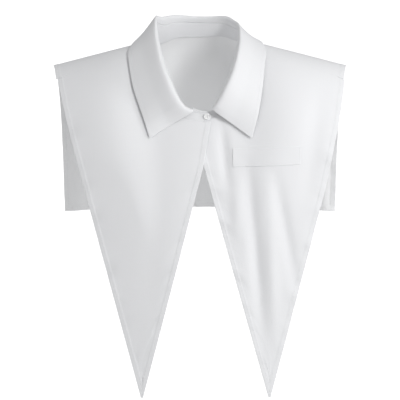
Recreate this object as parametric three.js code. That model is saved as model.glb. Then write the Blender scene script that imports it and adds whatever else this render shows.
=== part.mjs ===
// A detachable shirt collar: a collar with its band, two long pointed fronts and a short straight back.
// Millimetres. +Z is up, the fronts face -Y and +X is the wearer's left.
// The origin is the centre of the neck opening, level with the sides of the neck.
import * as THREE from "three";

// Sizes of the neck opening
const NECK_HALF_WIDTH = 65;
const NECK_BACK_DEPTH = 62;
const NECK_DROP = 94;
const NECK_ASIDE = -2;

// The body form that the cloth lies on: a ridge along the shoulders, a chest and a back
const SHOULDER_HALF_WIDTH = 191;
const RIDGE_HEIGHT = 12.5;
const RIDGE_SLOPE = 0.264;
const RIDGE_ROUNDING = 30;
const NECK_RISE = 28;
const NECK_RISE_SPREAD = 50;
const CHEST_DEPTH = 100;
const BACK_DEPTH = 95;
const SHOULDER_DEPTH_LOSS = 35;
const CHEST_FALL = 130;
const CHEST_FALL_AT_NECK = 220;
const CHEST_FALL_SPREAD = 80;
const BACK_FALL = 150;

// Fronts and back
const SHOULDER_SEAM_FORWARD = 33;
const FRONT_LENGTH = 451;
const BACK_LENGTH = 235;
const TIP_WIDTH = 3;
const HEM_WIDTH = 6.5;
const HEM_STEP = 0.6;
const FRONT_LAP = 5.2;
const LAP_SPREAD = 45;
const LAP_WHOLE_DOWN = 0.35;
const LAP_END_DOWN = 0.65;

// Band, leaf, welt and button
const BAND_HEIGHT = 18;
const BAND_LEAN = 9;
const BAND_TUCK = 2;
const BAND_TILT = 5;
const UNDER_END_LIFT = 6;
const TAB_END_X = 13.5;
const UNDER_END_X = -10;
const TAB_ROUNDING = 7;
const TAB_NARROWING = 0.62;
const LEAF_REACH = 92;
const LEAF_POINT_DROP = 115;
const LEAF_BACK_REACH = 74;
const LEAF_RISE = 7;
const LEAF_ROLL = 3.2;
const LEAF_STAND = 20;
const LEAF_HUG = 4;
const LEAF_DIP = 0.3;
const LEAF_SAG = 2;
const LEAF_LEFT_END_X = 16;
const LEAF_RIGHT_END_X = -9;
const WELT_LENGTH = 86;
const WELT_HEIGHT = 23;
const WELT_SLOPE = 3;
const WELT_FROM_MIDDLE = 41;
const WELT_DOWN = 128;
const BUTTON_DIAMETER = 7;
const BUTTON_THICKNESS = 1.6;
const BUTTON_HOLE = 1.1;
const BUTTON_X = 8;
const BUTTON_UP_BAND = 0.62;

// Cloth thicknesses and the gap kept between neighbours
const PANEL_CLOTH = 1.2;
const HEM_CLOTH = 2;
const BAND_CLOTH = 2;
const LEAF_CLOTH = 1.6;
const WELT_CLOTH = 1.4;
const SEAM_GAP = 0.3;

// Neck seam, one side, from the centre front round to the centre back.
// out: share of the neck half width. Front rows lie on the chest at down, a share of the neck drop.
// Back rows lie on the shoulder or the back at back, a share of the neck back depth.
// height: share of the band height. lean: share of the band lean. rise: share of the leaf rise.
// stand: share of the distance that the leaf stands forward of the band at its fold.
// tilt: share of the band tilt, which lowers the wearer's left side and raises the right.
// hug: share of the distance that the middle of the leaf lies back towards the chest.
const NECK_STATIONS = [
  { out: 0, down: 1, height: 0.56, lean: 0.24, rise: 0.15, stand: 0.1, tilt: 0, hug: 1 },
  { out: 0.232, down: 0.975, height: 0.6, lean: 0.24, rise: 0.2, stand: 0.3, tilt: 0.23, hug: 0.8 },
  { out: 0.347, down: 0.93, height: 0.72, lean: 0.3, rise: 0.3, stand: 0.6, tilt: 0.35, hug: 0.4 },
  { out: 0.577, down: 0.69, height: 0.82, lean: 0.45, rise: 0.5, stand: 0.95, tilt: 0.58, hug: 0.1 },
  { out: 0.777, down: 0.45, height: 0.9, lean: 0.65, rise: 0.7, stand: 0.85, tilt: 0.78, hug: 0 },
  { out: 0.93, down: 0.2, height: 0.92, lean: 0.85, rise: 0.85, stand: 0.45, tilt: 0.93, hug: 0 },
  { out: 0.99, down: 0.06, height: 0.9, lean: 0.95, rise: 0.85, stand: 0.15, tilt: 1.1, hug: 0 },
  { out: 1, back: 0, height: 0.87, lean: 1, rise: 0.9, stand: 0, tilt: 1.35, hug: 0 },
  { out: 0.93, back: 0.42, height: 1.06, lean: 0.95, rise: 1, stand: 0, tilt: 1, hug: 0 },
  { out: 0.72, back: 0.74, height: 1.1, lean: 0.7, rise: 1.25, stand: 0, tilt: 0.6, hug: 0 },
  { out: 0.38, back: 0.94, height: 0.97, lean: 0.45, rise: 0.9, stand: 0, tilt: 0.33, hug: 0 },
  { out: 0, back: 1, height: 0.95, lean: 0.4, rise: 0.8, stand: 0, tilt: 0, hug: 0 },
];

// Outer edge of the leaf, from the collar point round to the centre back.
// right and left: shares of the leaf reach on the wearer's right and left.
// down: share of the point drop. back: share of the leaf back reach. clear: height above the form, in mm.
const LEAF_STATIONS = [
  { right: 0.69, left: 0.708, down: 1, clear: 4.5 },
  { right: 0.755, left: 0.77, down: 0.83, clear: 4.5 },
  { right: 0.825, left: 0.815, down: 0.67, clear: 4.2 },
  { right: 0.923, left: 0.862, down: 0.44, clear: 4 },
  { right: 0.984, left: 0.9, down: 0.2, clear: 4 },
  { right: 1, left: 0.92, down: 0.1, clear: 4 },
  { right: 0.94, left: 0.875, back: -0.05, clear: 2.5 },
  { right: 0.86, left: 0.82, back: 0.33, clear: 3 },
  { right: 0.68, left: 0.66, back: 0.66, clear: 4 },
  { right: 0.38, left: 0.37, back: 0.9, clear: 5 },
  { right: 0, left: 0, back: 1, clear: 5 },
];

// Edges of the fronts, from the neck or the shoulder down to the tip.
// down: share of the front length. out: share of the shoulder half width, to the wearer's left.
const RIGHT_FRONT_INNER = [
  { down: 0.21, out: 0.07 },
  { down: 0.328, out: 0.023 },
  { down: 1, out: -0.392 },
];
const RIGHT_FRONT_OUTER = [
  { down: 0.1, out: -0.957 },
  { down: 1, out: -0.392 },
];
const LEFT_FRONT_INNER = [
  { down: 0.21, out: -0.052 },
  { down: 0.328, out: 0.023 },
  { down: 1, out: 0.47 },
];
const LEFT_FRONT_OUTER = [
  { down: 0.1, out: 0.974 },
  { down: 0.228, out: 0.919 },
  { down: 0.404, out: 0.832 },
  { down: 1, out: 0.47 },
];

// Side edge of the back, from the shoulder seam over the ridge down to the hem.
// turn: how far round the form, in quarter turns from the ridge. out: share of the shoulder half width.
const BACK_SIDE = [
  { turn: -0.35, out: 0.965 },
  { turn: 0, out: 1 },
  { turn: 0.6, out: 0.98 },
  { turn: 1.3, out: 0.965 },
];

// Folds of the fronts. across: share of the shoulder half width at the top and at the bottom of the fold.
// from and to: shares of the front length. width and depth in mm; a negative depth is a ridge.
const RIGHT_FRONT_FOLDS = [
  { top: -0.24, bottom: -0.36, from: 0.25, to: 0.8, width: 14, depth: 0.5 },
  { top: -0.1, bottom: -0.26, from: 0.25, to: 0.75, width: 18, depth: -0.8 },
];
const LEFT_FRONT_FOLDS = [
  { top: 0.14, bottom: 0.18, from: 0.2, to: 0.4, width: 6, depth: 4 },
  { top: 0.245, bottom: 0.25, from: 0.345, to: 0.55, width: 8, depth: -2.5 },
  { top: 0.315, bottom: 0.425, from: 0.3, to: 0.85, width: 8, depth: 4.5 },
  { top: 0.45, bottom: 0.51, from: 0.345, to: 0.87, width: 8, depth: -2.5 },
  { top: 0.48, bottom: 0.66, from: 0.32, to: 0.72, width: 8, depth: 3.4 },
  { top: 0.8, bottom: 0.7, from: 0.1, to: 0.46, width: 12, depth: 3 },
];
const BACK_FOLDS = [
  { top: -0.9, bottom: -0.88, from: 0.3, to: 0.6, width: 7, depth: -3 },
  { top: 0.9, bottom: 0.88, from: 0.28, to: 0.6, width: 6, depth: -3 },
  { top: 0.3, bottom: 0.34, from: 0.25, to: 0.6, width: 16, depth: 3 },
  { top: -0.35, bottom: -0.4, from: 0.25, to: 0.6, width: 18, depth: 3 },
];

function mix(a, b, share) {
  return a + (b - a) * share;
}

// A smooth value through evenly spaced knots, at a real index
function smoothValue(knots, index) {
  const last = knots.length - 1;
  const low = Math.min(last - 1, Math.max(0, Math.floor(index)));
  const t = index - low;
  const knot = (n) => knots[Math.min(last, Math.max(0, n))];
  const before = (knot(low + 1) - knot(low - 1)) / 2;
  const after = (knot(low + 2) - knot(low)) / 2;
  const rest = knot(low + 1) - knot(low);
  return knot(low) + t * (before + t * (3 * rest - 2 * before - after + t * (before + after - 2 * rest)));
}

// A value of a table column at a place between its rows
function tableValue(table, key, column, place) {
  const last = table.length - 1;
  let low = 0;
  while (low < last - 1 && table[low + 1][key] < place) low += 1;
  const share = (place - table[low][key]) / (table[low + 1][key] - table[low][key]);
  return mix(table[low][column], table[low + 1][column], share);
}

// Height of the shoulder ridge at a distance x from the middle
function ridgeHeight(x) {
  const slope = RIDGE_SLOPE * (Math.hypot(x, RIDGE_ROUNDING) - RIDGE_ROUNDING);
  return RIDGE_HEIGHT + NECK_RISE * Math.exp(-((x / NECK_RISE_SPREAD) ** 4)) - slope;
}

// Depth of the form at x in front of the ridge (side -1) or behind it (side 1)
function formDepth(x, side) {
  const middle = side < 0 ? CHEST_DEPTH : BACK_DEPTH;
  return middle - SHOULDER_DEPTH_LOSS * (x / SHOULDER_HALF_WIDTH) ** 2;
}

// Height over which the form turns from level at the ridge to upright
function formFall(x, side) {
  if (side > 0) return BACK_FALL;
  return CHEST_FALL + CHEST_FALL_AT_NECK * Math.exp(-(Math.abs(x / CHEST_FALL_SPREAD) ** 3));
}

// Distance of the form from the ridge at height z
function formReach(x, z, side) {
  const share = Math.min(1, Math.max(0, (ridgeHeight(x) - z) / formFall(x, side)));
  return side * formDepth(x, side) * Math.sqrt(1 - (1 - share) ** 2);
}

// Height of the form at a place in plan
function formHeight(x, y) {
  const side = y < 0 ? -1 : 1;
  const share = Math.min(1, Math.abs(y) / formDepth(x, side));
  return ridgeHeight(x) - formFall(x, side) * (1 - Math.sqrt(1 - share * share));
}

// How far the two fronts part from one another where one laps over the other
function lapShare(x) {
  return Math.exp(-((x / LAP_SPREAD) ** 2));
}

// Depth of the folds of a front or of the back at a place seen from the front
function foldDepth(folds, x, z) {
  let depth = 0;
  for (const fold of folds) {
    const share = (-z / FRONT_LENGTH - fold.from) / (fold.to - fold.from);
    if (share <= 0 || share >= 1) continue;
    const middle = mix(fold.top, fold.bottom, share) * SHOULDER_HALF_WIDTH;
    depth += fold.depth * Math.sin(Math.PI * share) * Math.exp(-(((x - middle) / fold.width) ** 2));
  }
  return depth;
}

// The neck seam, a closed curve: station 0 is the centre front, then the wearer's left, the back, the right
const LAST_STATION = NECK_STATIONS.length - 1;
const NECK_LOOP = 2 * LAST_STATION;

function neckStationPoint(row, side) {
  const x = side * row.out * NECK_HALF_WIDTH + NECK_ASIDE;
  if (row.back === undefined) {
    const z = -row.down * NECK_DROP;
    return new THREE.Vector3(x, formReach(x, z, -1), z);
  }
  const y = row.back * NECK_BACK_DEPTH;
  return new THREE.Vector3(x, y, formHeight(x, y));
}

function neckSeamCurve() {
  const points = NECK_STATIONS.map((row) => neckStationPoint(row, 1));
  for (let n = LAST_STATION - 1; n > 0; n -= 1) points.push(neckStationPoint(NECK_STATIONS[n], -1));
  return new THREE.CatmullRomCurve3(points, true, "centripetal");
}

const NECK_SEAM = neckSeamCurve();

function wrapStation(station) {
  return ((station % NECK_LOOP) + NECK_LOOP) % NECK_LOOP;
}

// A point of the neck seam, brought onto the form
function seamPoint(station) {
  const point = NECK_SEAM.getPoint(wrapStation(station) / NECK_LOOP);
  if (point.y < -SHOULDER_SEAM_FORWARD) point.y = formReach(point.x, point.z, -1);
  else point.z = formHeight(point.x, point.y);
  return point;
}

// Level direction away from the neck at a station
function seamOutward(station) {
  const tangent = NECK_SEAM.getTangent(wrapStation(station) / NECK_LOOP);
  return new THREE.Vector3(tangent.y, -tangent.x, 0).normalize();
}

// A column of the neck table at a station of either side
function neckValue(column, station) {
  const wrapped = wrapStation(station);
  const folded = wrapped > LAST_STATION ? NECK_LOOP - wrapped : wrapped;
  return smoothValue(NECK_STATIONS.map((row) => row[column]), folded);
}

// Outward shift that parts the two ends of the band; the wearer's right end lies on top
function bandShift(station) {
  const point = seamPoint(station);
  if (point.y > 0) return 0;
  const onTop = station > LAST_STATION;
  return (onTop ? 0.5 : -0.5) * FRONT_LAP * lapShare(point.x);
}

// Top edge of the band, where the leaf starts
function bandTop(station) {
  const point = seamPoint(station);
  const outward = seamOutward(station);
  const underEnd = Math.max(0, station < 2 ? (TAB_END_X - point.x) / (TAB_END_X - UNDER_END_X) : 0);
  const tilt = (wrapStation(station) > LAST_STATION ? -1 : 1) * BAND_TILT * neckValue("tilt", station);
  point.addScaledVector(outward, bandShift(station) - BAND_LEAN * neckValue("lean", station));
  point.z += BAND_HEIGHT * neckValue("height", station) + UNDER_END_LIFT * underEnd - tilt;
  return point;
}

// Bottom edge of the band, just inside the neck edge of the panels
function bandBottom(station) {
  const point = seamPoint(station);
  const outward = seamOutward(station);
  const inset = 2 * SEAM_GAP + BAND_CLOTH / 2 + (PANEL_CLOTH / 2) * Math.abs(outward.y);
  point.addScaledVector(outward, bandShift(station) - inset);
  point.z -= BAND_TUCK;
  return point;
}

// A closed cloth solid from its middle surface: points, four-cornered cells seen from outside, thicknesses
function clothGeometry(points, cells, thickness) {
  const normals = points.map(() => new THREE.Vector3());
  for (const cell of cells) {
    const [a, b, c, d] = cell.map((n) => points[n]);
    const across = new THREE.Vector3().subVectors(c, a);
    const normal = across.cross(new THREE.Vector3().subVectors(d, b));
    for (const n of cell) normals[n].add(normal);
  }
  const positions = [];
  for (const side of [0.5, -0.5]) {
    points.forEach((point, n) => {
      const moved = point.clone().addScaledVector(normals[n].clone().normalize(), side * thickness[n]);
      positions.push(moved.x, moved.y, moved.z);
    });
  }
  const count = points.length;
  const faces = [];
  const open = new Map();
  for (const [a, b, c, d] of cells) {
    faces.push(a, b, c, a, c, d);
    faces.push(count + a, count + c, count + b, count + a, count + d, count + c);
    for (const [from, to] of [[a, b], [b, c], [c, d], [d, a]]) {
      if (!open.delete(to + "," + from)) open.set(from + "," + to, [from, to]);
    }
  }
  for (const [from, to] of open.values()) {
    faces.push(from, count + from, count + to, from, count + to, to);
  }
  const geometry = new THREE.BufferGeometry();
  geometry.setAttribute("position", new THREE.Float32BufferAttribute(positions, 3));
  geometry.setIndex(faces);
  geometry.computeVertexNormals();
  return geometry;
}

// Cells of a grid of rows and columns, turned over when the columns run the other way
function gridCells(rows, columns, turned) {
  const cells = [];
  for (let row = 0; row < rows - 1; row += 1) {
    for (let column = 0; column < columns - 1; column += 1) {
      const first = row * columns + column;
      const cell = [first, first + columns, first + columns + 1, first + 1];
      cells.push(turned ? cell.reverse() : cell);
    }
  }
  return cells;
}

// Shares of the columns of a panel row: a hem at each edge and even columns between.
// Towards a tip the hems and the steps beside them narrow with the row.
const MIDDLE_COLUMNS = 8;
const WIDEST_HEM_SHARE = 0.44;
const WIDEST_STEP_SHARE = 0.02;
function columnShares(width) {
  const hem = Math.min(HEM_WIDTH / width, WIDEST_HEM_SHARE);
  const step = Math.min(HEM_STEP / width, WIDEST_STEP_SHARE);
  const shares = [0, hem];
  for (let n = 0; n < MIDDLE_COLUMNS; n += 1) {
    shares.push(mix(hem + step, 1 - hem - step, n / (MIDDLE_COLUMNS - 1)));
  }
  shares.push(1 - hem, 1);
  return shares;
}

// The station of the neck seam, between two others, where a test of its point first fails
function stationWhere(from, to, holds) {
  let near = from;
  let far = to;
  for (let n = 0; n < 40; n += 1) {
    const middle = (near + far) / 2;
    if (holds(seamPoint(middle))) near = middle;
    else far = middle;
  }
  return near;
}

// The station where the shoulder seam meets the neck seam. side is -1 for the wearer's right, 1 for the left.
function shoulderStation(side) {
  return stationWhere(2 * side, LAST_STATION * side, (point) => point.y < -SHOULDER_SEAM_FORWARD);
}

// The surface of a front at a place seen from the front. side is -1 for the wearer's right, 1 for the left.
function frontPoint(side, folds, x, z) {
  const fade = (LAP_END_DOWN + z / FRONT_LENGTH) / (LAP_END_DOWN - LAP_WHOLE_DOWN);
  const lap = side * 0.5 * FRONT_LAP * lapShare(x) * Math.min(1, Math.max(0, fade));
  return new THREE.Vector3(x, formReach(x, z, -1) + lap + foldDepth(folds, x, z), z);
}

// The rows of a front: each has an inner and an outer end seen from the front.
// Where the inner edge leaves the neck, the outer end is further down by a share of the front length.
const NECK_ROWS = 10;
const OPEN_ROWS = 20;
const OUTER_END_FURTHER_DOWN = 0.08;
const FRONT_SEAM_Y = -SHOULDER_SEAM_FORWARD - 2 * SEAM_GAP;
function frontRows(side, innerEdge, outerEdge) {
  const edgeX = (edge, z) => tableValue(edge, "down", "out", -z / FRONT_LENGTH) * SHOULDER_HALF_WIDTH;
  const openZ = -innerEdge[0].down * FRONT_LENGTH;
  const openX = innerEdge[0].out * SHOULDER_HALF_WIDTH;
  const middleStation = stationWhere(-2, 2, (point) => point.x < openX);
  const topX = outerEdge[0].out * SHOULDER_HALF_WIDTH;
  const topZ = formHeight(topX, FRONT_SEAM_Y);
  const turnZ = openZ - OUTER_END_FURTHER_DOWN * FRONT_LENGTH;
  const rows = [];
  for (let n = 0; n < NECK_ROWS; n += 1) {
    const share = n / NECK_ROWS;
    const inner = seamPoint(mix(shoulderStation(side), middleStation, share));
    const z = mix(topZ, turnZ, share);
    rows.push({ inner, outer: new THREE.Vector3(edgeX(outerEdge, z), 0, z), hemmed: false });
  }
  rows[0].inner.z = formHeight(rows[0].inner.x, FRONT_SEAM_Y);
  rows[0].outer.set(topX, 0, topZ);
  for (let n = 0; n <= OPEN_ROWS; n += 1) {
    const share = n / OPEN_ROWS;
    const innerZ = mix(openZ, -FRONT_LENGTH, share);
    const outerZ = mix(turnZ, -FRONT_LENGTH, share);
    const tip = share * side * 0.5 * TIP_WIDTH;
    const inner = new THREE.Vector3(edgeX(innerEdge, innerZ) - tip, 0, innerZ);
    rows.push({ inner, outer: new THREE.Vector3(edgeX(outerEdge, outerZ) + tip, 0, outerZ), hemmed: true });
  }
  return rows;
}

// A front as a cloth solid
function frontGeometry(side, folds, innerEdge, outerEdge) {
  const rows = frontRows(side, innerEdge, outerEdge);
  const points = [];
  const thickness = [];
  rows.forEach(({ inner, outer, hemmed }, n) => {
    const fade = Math.max(0, 1 - n / NECK_ROWS) ** 2;
    const shares = columnShares(Math.abs(outer.x - inner.x));
    shares.forEach((share, column) => {
      const x = mix(inner.x, outer.x, share);
      const topX = mix(rows[0].inner.x, rows[0].outer.x, share);
      const topZ = mix(rows[0].inner.z, rows[0].outer.z, share);
      const bow = fade * (formHeight(topX, FRONT_SEAM_Y) - topZ);
      points.push(frontPoint(side, folds, x, mix(inner.z, outer.z, share) + bow));
      const inHem = column > shares.length - 3 || (hemmed && column < 2);
      thickness.push(inHem ? HEM_CLOTH : PANEL_CLOTH);
    });
  });
  return clothGeometry(points, gridCells(rows.length, MIDDLE_COLUMNS + 4, side < 0), thickness);
}

// A place on the back panel: x and quarter turns round the form from the ridge
function backPoint(x, turn) {
  const side = turn < 0 ? -1 : 1;
  const angle = (Math.PI / 2) * Math.min(1, turn);
  const y = formDepth(x, side) * Math.sin(angle);
  const below = (Math.PI / 2) * Math.max(0, turn - 1) * BACK_FALL;
  const z = ridgeHeight(x) - formFall(x, side) * (1 - Math.cos(angle)) - below;
  return new THREE.Vector3(x, y + foldDepth(BACK_FOLDS, x, z) * Math.sin(angle), z);
}

// Quarter turns round the form for a place in plan
function turnAt(x, y) {
  return Math.asin(y / formDepth(x, y < 0 ? -1 : 1)) / (Math.PI / 2);
}

// Quarter turns round the form at the hem of the back
function hemTurn(x) {
  return 1 + (ridgeHeight(x) - BACK_FALL + BACK_LENGTH) / (BACK_FALL * (Math.PI / 2));
}

// The rows of the back run from the shoulder seam to the hem; the last two bound the hem
const BACK_NECK_ROWS = 13;
const BACK_OPEN_ROWS = 9;
const BACK_ROWS = BACK_NECK_ROWS + BACK_OPEN_ROWS + 2;
const BACK_COLUMNS = 10;
const LAST_OPEN_SHARE = 0.97;
const HEM_TURN = HEM_WIDTH / (BACK_FALL * (Math.PI / 2));
const SIDE_TURN_AT_NECK = 0.62;

// Share of the way from the neck to the hem for a row below the neck
function openShare(row) {
  if (row === BACK_ROWS - 1) return 1;
  if (row === BACK_ROWS - 2) return 1 - HEM_TURN;
  return ((row - BACK_NECK_ROWS) / BACK_OPEN_ROWS) * LAST_OPEN_SHARE;
}

// The ends of a row of one half of the back: the inner at the neck or the middle line, the outer at the side
function backRowEnds(side, row) {
  const seamX = BACK_SIDE[0].out * SHOULDER_HALF_WIDTH;
  if (row >= BACK_NECK_ROWS) {
    const innerTurn = mix(turnAt(0, NECK_BACK_DEPTH), hemTurn(0), openShare(row));
    return { innerX: 0, innerTurn, outerTurn: mix(SIDE_TURN_AT_NECK, hemTurn(seamX), openShare(row)) };
  }
  const share = row / BACK_NECK_ROWS;
  const neck = seamPoint(mix(shoulderStation(side), LAST_STATION * side, share));
  const outerTurn = mix(turnAt(seamX, -SHOULDER_SEAM_FORWARD), SIDE_TURN_AT_NECK, share);
  return { innerX: neck.x, innerTurn: turnAt(neck.x, neck.y), outerTurn };
}

// Share of the width of a row of the back at a column, with a hem and a step at the side edge
function backColumnShare(column, width) {
  if (column === BACK_COLUMNS) return 1;
  if (column === BACK_COLUMNS - 1) return 1 - HEM_WIDTH / width;
  return (1 - (HEM_WIDTH + HEM_STEP) / width) * (column / (BACK_COLUMNS - 2));
}

function backRowPoints(side, row) {
  const { innerX, innerTurn, outerTurn } = backRowEnds(side, row);
  const outerX = side * tableValue(BACK_SIDE, "turn", "out", outerTurn) * SHOULDER_HALF_WIDTH;
  const points = [];
  for (let column = 0; column <= BACK_COLUMNS; column += 1) {
    const across = backColumnShare(column, Math.abs(outerX - innerX));
    const x = mix(innerX, outerX, across);
    let turn = mix(innerTurn, outerTurn, across);
    if (row === 0) turn = turnAt(x, -SHOULDER_SEAM_FORWARD);
    if (row === BACK_ROWS - 2) turn = hemTurn(x) - HEM_TURN;
    if (row === BACK_ROWS - 1) turn = hemTurn(x);
    points.push(backPoint(x, turn));
  }
  return points;
}

// The back panel: two halves that part round the neck and share the middle line below it
function backGeometry() {
  const points = [];
  const thickness = [];
  const cells = [];
  const middleLine = new Map();
  for (const side of [1, -1]) {
    let above = [];
    for (let row = 0; row < BACK_ROWS; row += 1) {
      const places = backRowPoints(side, row).map((point, column) => {
        const onMiddle = row >= BACK_NECK_ROWS && column === 0;
        if (onMiddle && middleLine.has(row)) return middleLine.get(row);
        if (onMiddle) middleLine.set(row, points.length);
        const inHem = column >= BACK_COLUMNS - 1 || row >= BACK_ROWS - 2;
        thickness.push(inHem ? HEM_CLOTH : PANEL_CLOTH);
        return points.push(point) - 1;
      });
      for (let column = 0; row > 0 && column < BACK_COLUMNS; column += 1) {
        const cell = [above[column], places[column], places[column + 1], above[column + 1]];
        cells.push(side < 0 ? cell.reverse() : cell);
      }
      above = places;
    }
  }
  return clothGeometry(points, cells, thickness);
}

// The band: a strip round the neck whose wearer's right end laps over the left and ends in a round tab
const BAND_STEPS = 62;
const BAND_LEVELS = [0, 0.12, 0.5, 0.88, 1];
function bandGeometry() {
  const from = stationWhere(-2, 2, (point) => point.x < UNDER_END_X);
  const to = NECK_LOOP + stationWhere(-2, 2, (point) => point.x < TAB_END_X);
  const points = [];
  const thickness = [];
  for (let n = 0; n <= BAND_STEPS; n += 1) {
    const even = n / BAND_STEPS;
    const station = mix(from, to, even);
    const bottom = bandBottom(station);
    const top = bandTop(station);
    const toEnd = bandTop(to).distanceTo(top);
    const nearEnd = n > BAND_STEPS / 2 && toEnd < TAB_ROUNDING;
    const cut = nearEnd ? 1 - Math.sqrt(1 - (1 - toEnd / TAB_ROUNDING) ** 2) : 0;
    for (const level of BAND_LEVELS) {
      points.push(new THREE.Vector3().lerpVectors(bottom, top, mix(level, 0.5, TAB_NARROWING * cut)));
      thickness.push(BAND_CLOTH);
    }
  }
  return clothGeometry(points, gridCells(BAND_STEPS + 1, BAND_LEVELS.length, false), thickness);
}

// The outer edge of the leaf, an open curve from the wearer's left point round the back to the right point
function leafStationPoint(row, side) {
  const x = side * row[side > 0 ? "left" : "right"] * LEAF_REACH;
  if (row.back === undefined) {
    const z = -row.down * LEAF_POINT_DROP;
    return new THREE.Vector3(x, formReach(x, z, -1) - row.clear, z);
  }
  const y = row.back * LEAF_BACK_REACH;
  return new THREE.Vector3(x, y, formHeight(x, y) + row.clear);
}

function leafEdgeCurve() {
  const points = LEAF_STATIONS.map((row) => leafStationPoint(row, 1));
  for (let n = LEAF_STATIONS.length - 2; n >= 0; n -= 1) points.push(leafStationPoint(LEAF_STATIONS[n], -1));
  return new THREE.CatmullRomCurve3(points, false, "centripetal");
}

// A section through the leaf: up inside the neck, over the roll and down to the outer edge
const LEAF_SAMPLES = [0, 0.1, 0.2, 0.28, 0.34, 0.4, 0.46, 0.53, 0.6, 0.68, 0.76, 0.84, 0.92, 1];
function leafSection(station, edge) {
  const outward = seamOutward(station);
  const top = bandTop(station);
  const upward = new THREE.Vector3().subVectors(top, bandBottom(station)).normalize();
  const foot = top.clone().addScaledVector(upward, 3 * SEAM_GAP);
  const shoulder = foot.clone().addScaledVector(upward, LEAF_RISE * neckValue("rise", station));
  const stand = LEAF_STAND * neckValue("stand", station);
  const crest = shoulder.clone().addScaledVector(outward, 0.5 * LEAF_ROLL);
  crest.y -= 0.5 * stand;
  crest.z += 0.5 * LEAF_ROLL;
  const fall = shoulder.clone().addScaledVector(outward, LEAF_ROLL);
  fall.y -= stand;
  fall.z -= LEAF_DIP;
  const belly = new THREE.Vector3().lerpVectors(fall, edge, 0.5);
  belly.y += LEAF_HUG * neckValue("hug", station);
  belly.z -= LEAF_SAG * neckValue("lean", station);
  const curve = new THREE.CatmullRomCurve3([foot, shoulder, crest, fall, belly, edge], false, "centripetal");
  return LEAF_SAMPLES.map((share) => curve.getPoint(share));
}

// The leaf: a folded strip round the neck with a point at each front end
const LEAF_STEPS = 52;
function leafGeometry() {
  const from = stationWhere(-2, 2, (point) => point.x < LEAF_LEFT_END_X);
  const to = NECK_LOOP + stationWhere(-2, 2, (point) => point.x < LEAF_RIGHT_END_X);
  const edge = leafEdgeCurve();
  const spacing = LEAF_STATIONS.length - 1;
  const points = [];
  for (let n = 0; n <= LEAF_STEPS; n += 1) {
    const station = mix(from, to, n / LEAF_STEPS);
    const folded = Math.min(station, NECK_LOOP - station);
    const end = station < LAST_STATION ? from : NECK_LOOP - to;
    const place = folded < 2 ? (folded - end) / (2 - end) : folded - 1;
    const share = place / (2 * spacing);
    points.push(...leafSection(station, edge.getPoint(station < LAST_STATION ? share : 1 - share)));
  }
  const thickness = points.map(() => LEAF_CLOTH);
  return clothGeometry(points, gridCells(LEAF_STEPS + 1, LEAF_SAMPLES.length, false), thickness);
}

// The welt of the breast pocket, lying on the wearer's left front
const WELT_COLUMNS = 15;
const WELT_ROWS = 5;
function weltGeometry() {
  const lift = PANEL_CLOTH / 2 + WELT_CLOTH / 2 + 4 * SEAM_GAP;
  const points = [];
  for (let row = 0; row < WELT_ROWS; row += 1) {
    for (let column = 0; column < WELT_COLUMNS; column += 1) {
      const across = column / (WELT_COLUMNS - 1);
      const x = WELT_FROM_MIDDLE + across * WELT_LENGTH;
      const top = -WELT_DOWN + across * WELT_SLOPE;
      const point = frontPoint(1, [], x, top - (row / (WELT_ROWS - 1)) * WELT_HEIGHT);
      point.y -= lift;
      points.push(point);
    }
  }
  return clothGeometry(points, gridCells(WELT_ROWS, WELT_COLUMNS, false), points.map(() => WELT_CLOTH));
}

// The button: a round disc with four holes, its back on the z = 0 plane
function buttonGeometry() {
  const bevel = 0.3;
  const rim = BUTTON_DIAMETER / 2 - bevel;
  const disc = new THREE.Shape().absarc(0, 0, rim, 0, 2 * Math.PI, false);
  for (const [across, up] of [[1, 1], [-1, 1], [-1, -1], [1, -1]]) {
    const hole = new THREE.Path();
    hole.absarc(across * BUTTON_HOLE, up * BUTTON_HOLE, BUTTON_HOLE / 2 + bevel, 0, 2 * Math.PI, true);
    disc.holes.push(hole);
  }
  const depth = BUTTON_THICKNESS - 2 * bevel;
  const shape = { depth, bevelSize: bevel, bevelThickness: bevel, bevelSegments: 1, curveSegments: 9 };
  return new THREE.ExtrudeGeometry(disc, shape).translate(0, 0, bevel);
}

// Stands the button on the outside of the tab
function placeButton(button) {
  const station = NECK_LOOP + stationWhere(-2, 2, (point) => point.x < BUTTON_X);
  const middle = new THREE.Vector3().lerpVectors(bandBottom(station), bandTop(station), BUTTON_UP_BAND);
  const up = new THREE.Vector3().subVectors(bandTop(station), bandBottom(station)).normalize();
  const side = new THREE.Vector3().crossVectors(up, seamOutward(station)).normalize();
  const outward = new THREE.Vector3().crossVectors(side, up);
  button.quaternion.setFromRotationMatrix(new THREE.Matrix4().makeBasis(side, up, outward));
  button.position.copy(middle).addScaledVector(outward, BAND_CLOTH / 2 + SEAM_GAP);
}

function cottonMaterial() {
  return new THREE.MeshStandardMaterial({ color: 0xf1f2f4, roughness: 0.85, metalness: 0 });
}

function buttonMaterial() {
  return new THREE.MeshStandardMaterial({ color: 0xf7f7f5, roughness: 0.3, metalness: 0 });
}

function piece(name, geometry, material) {
  const mesh = new THREE.Mesh(geometry, material);
  mesh.name = name;
  return mesh;
}

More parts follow.
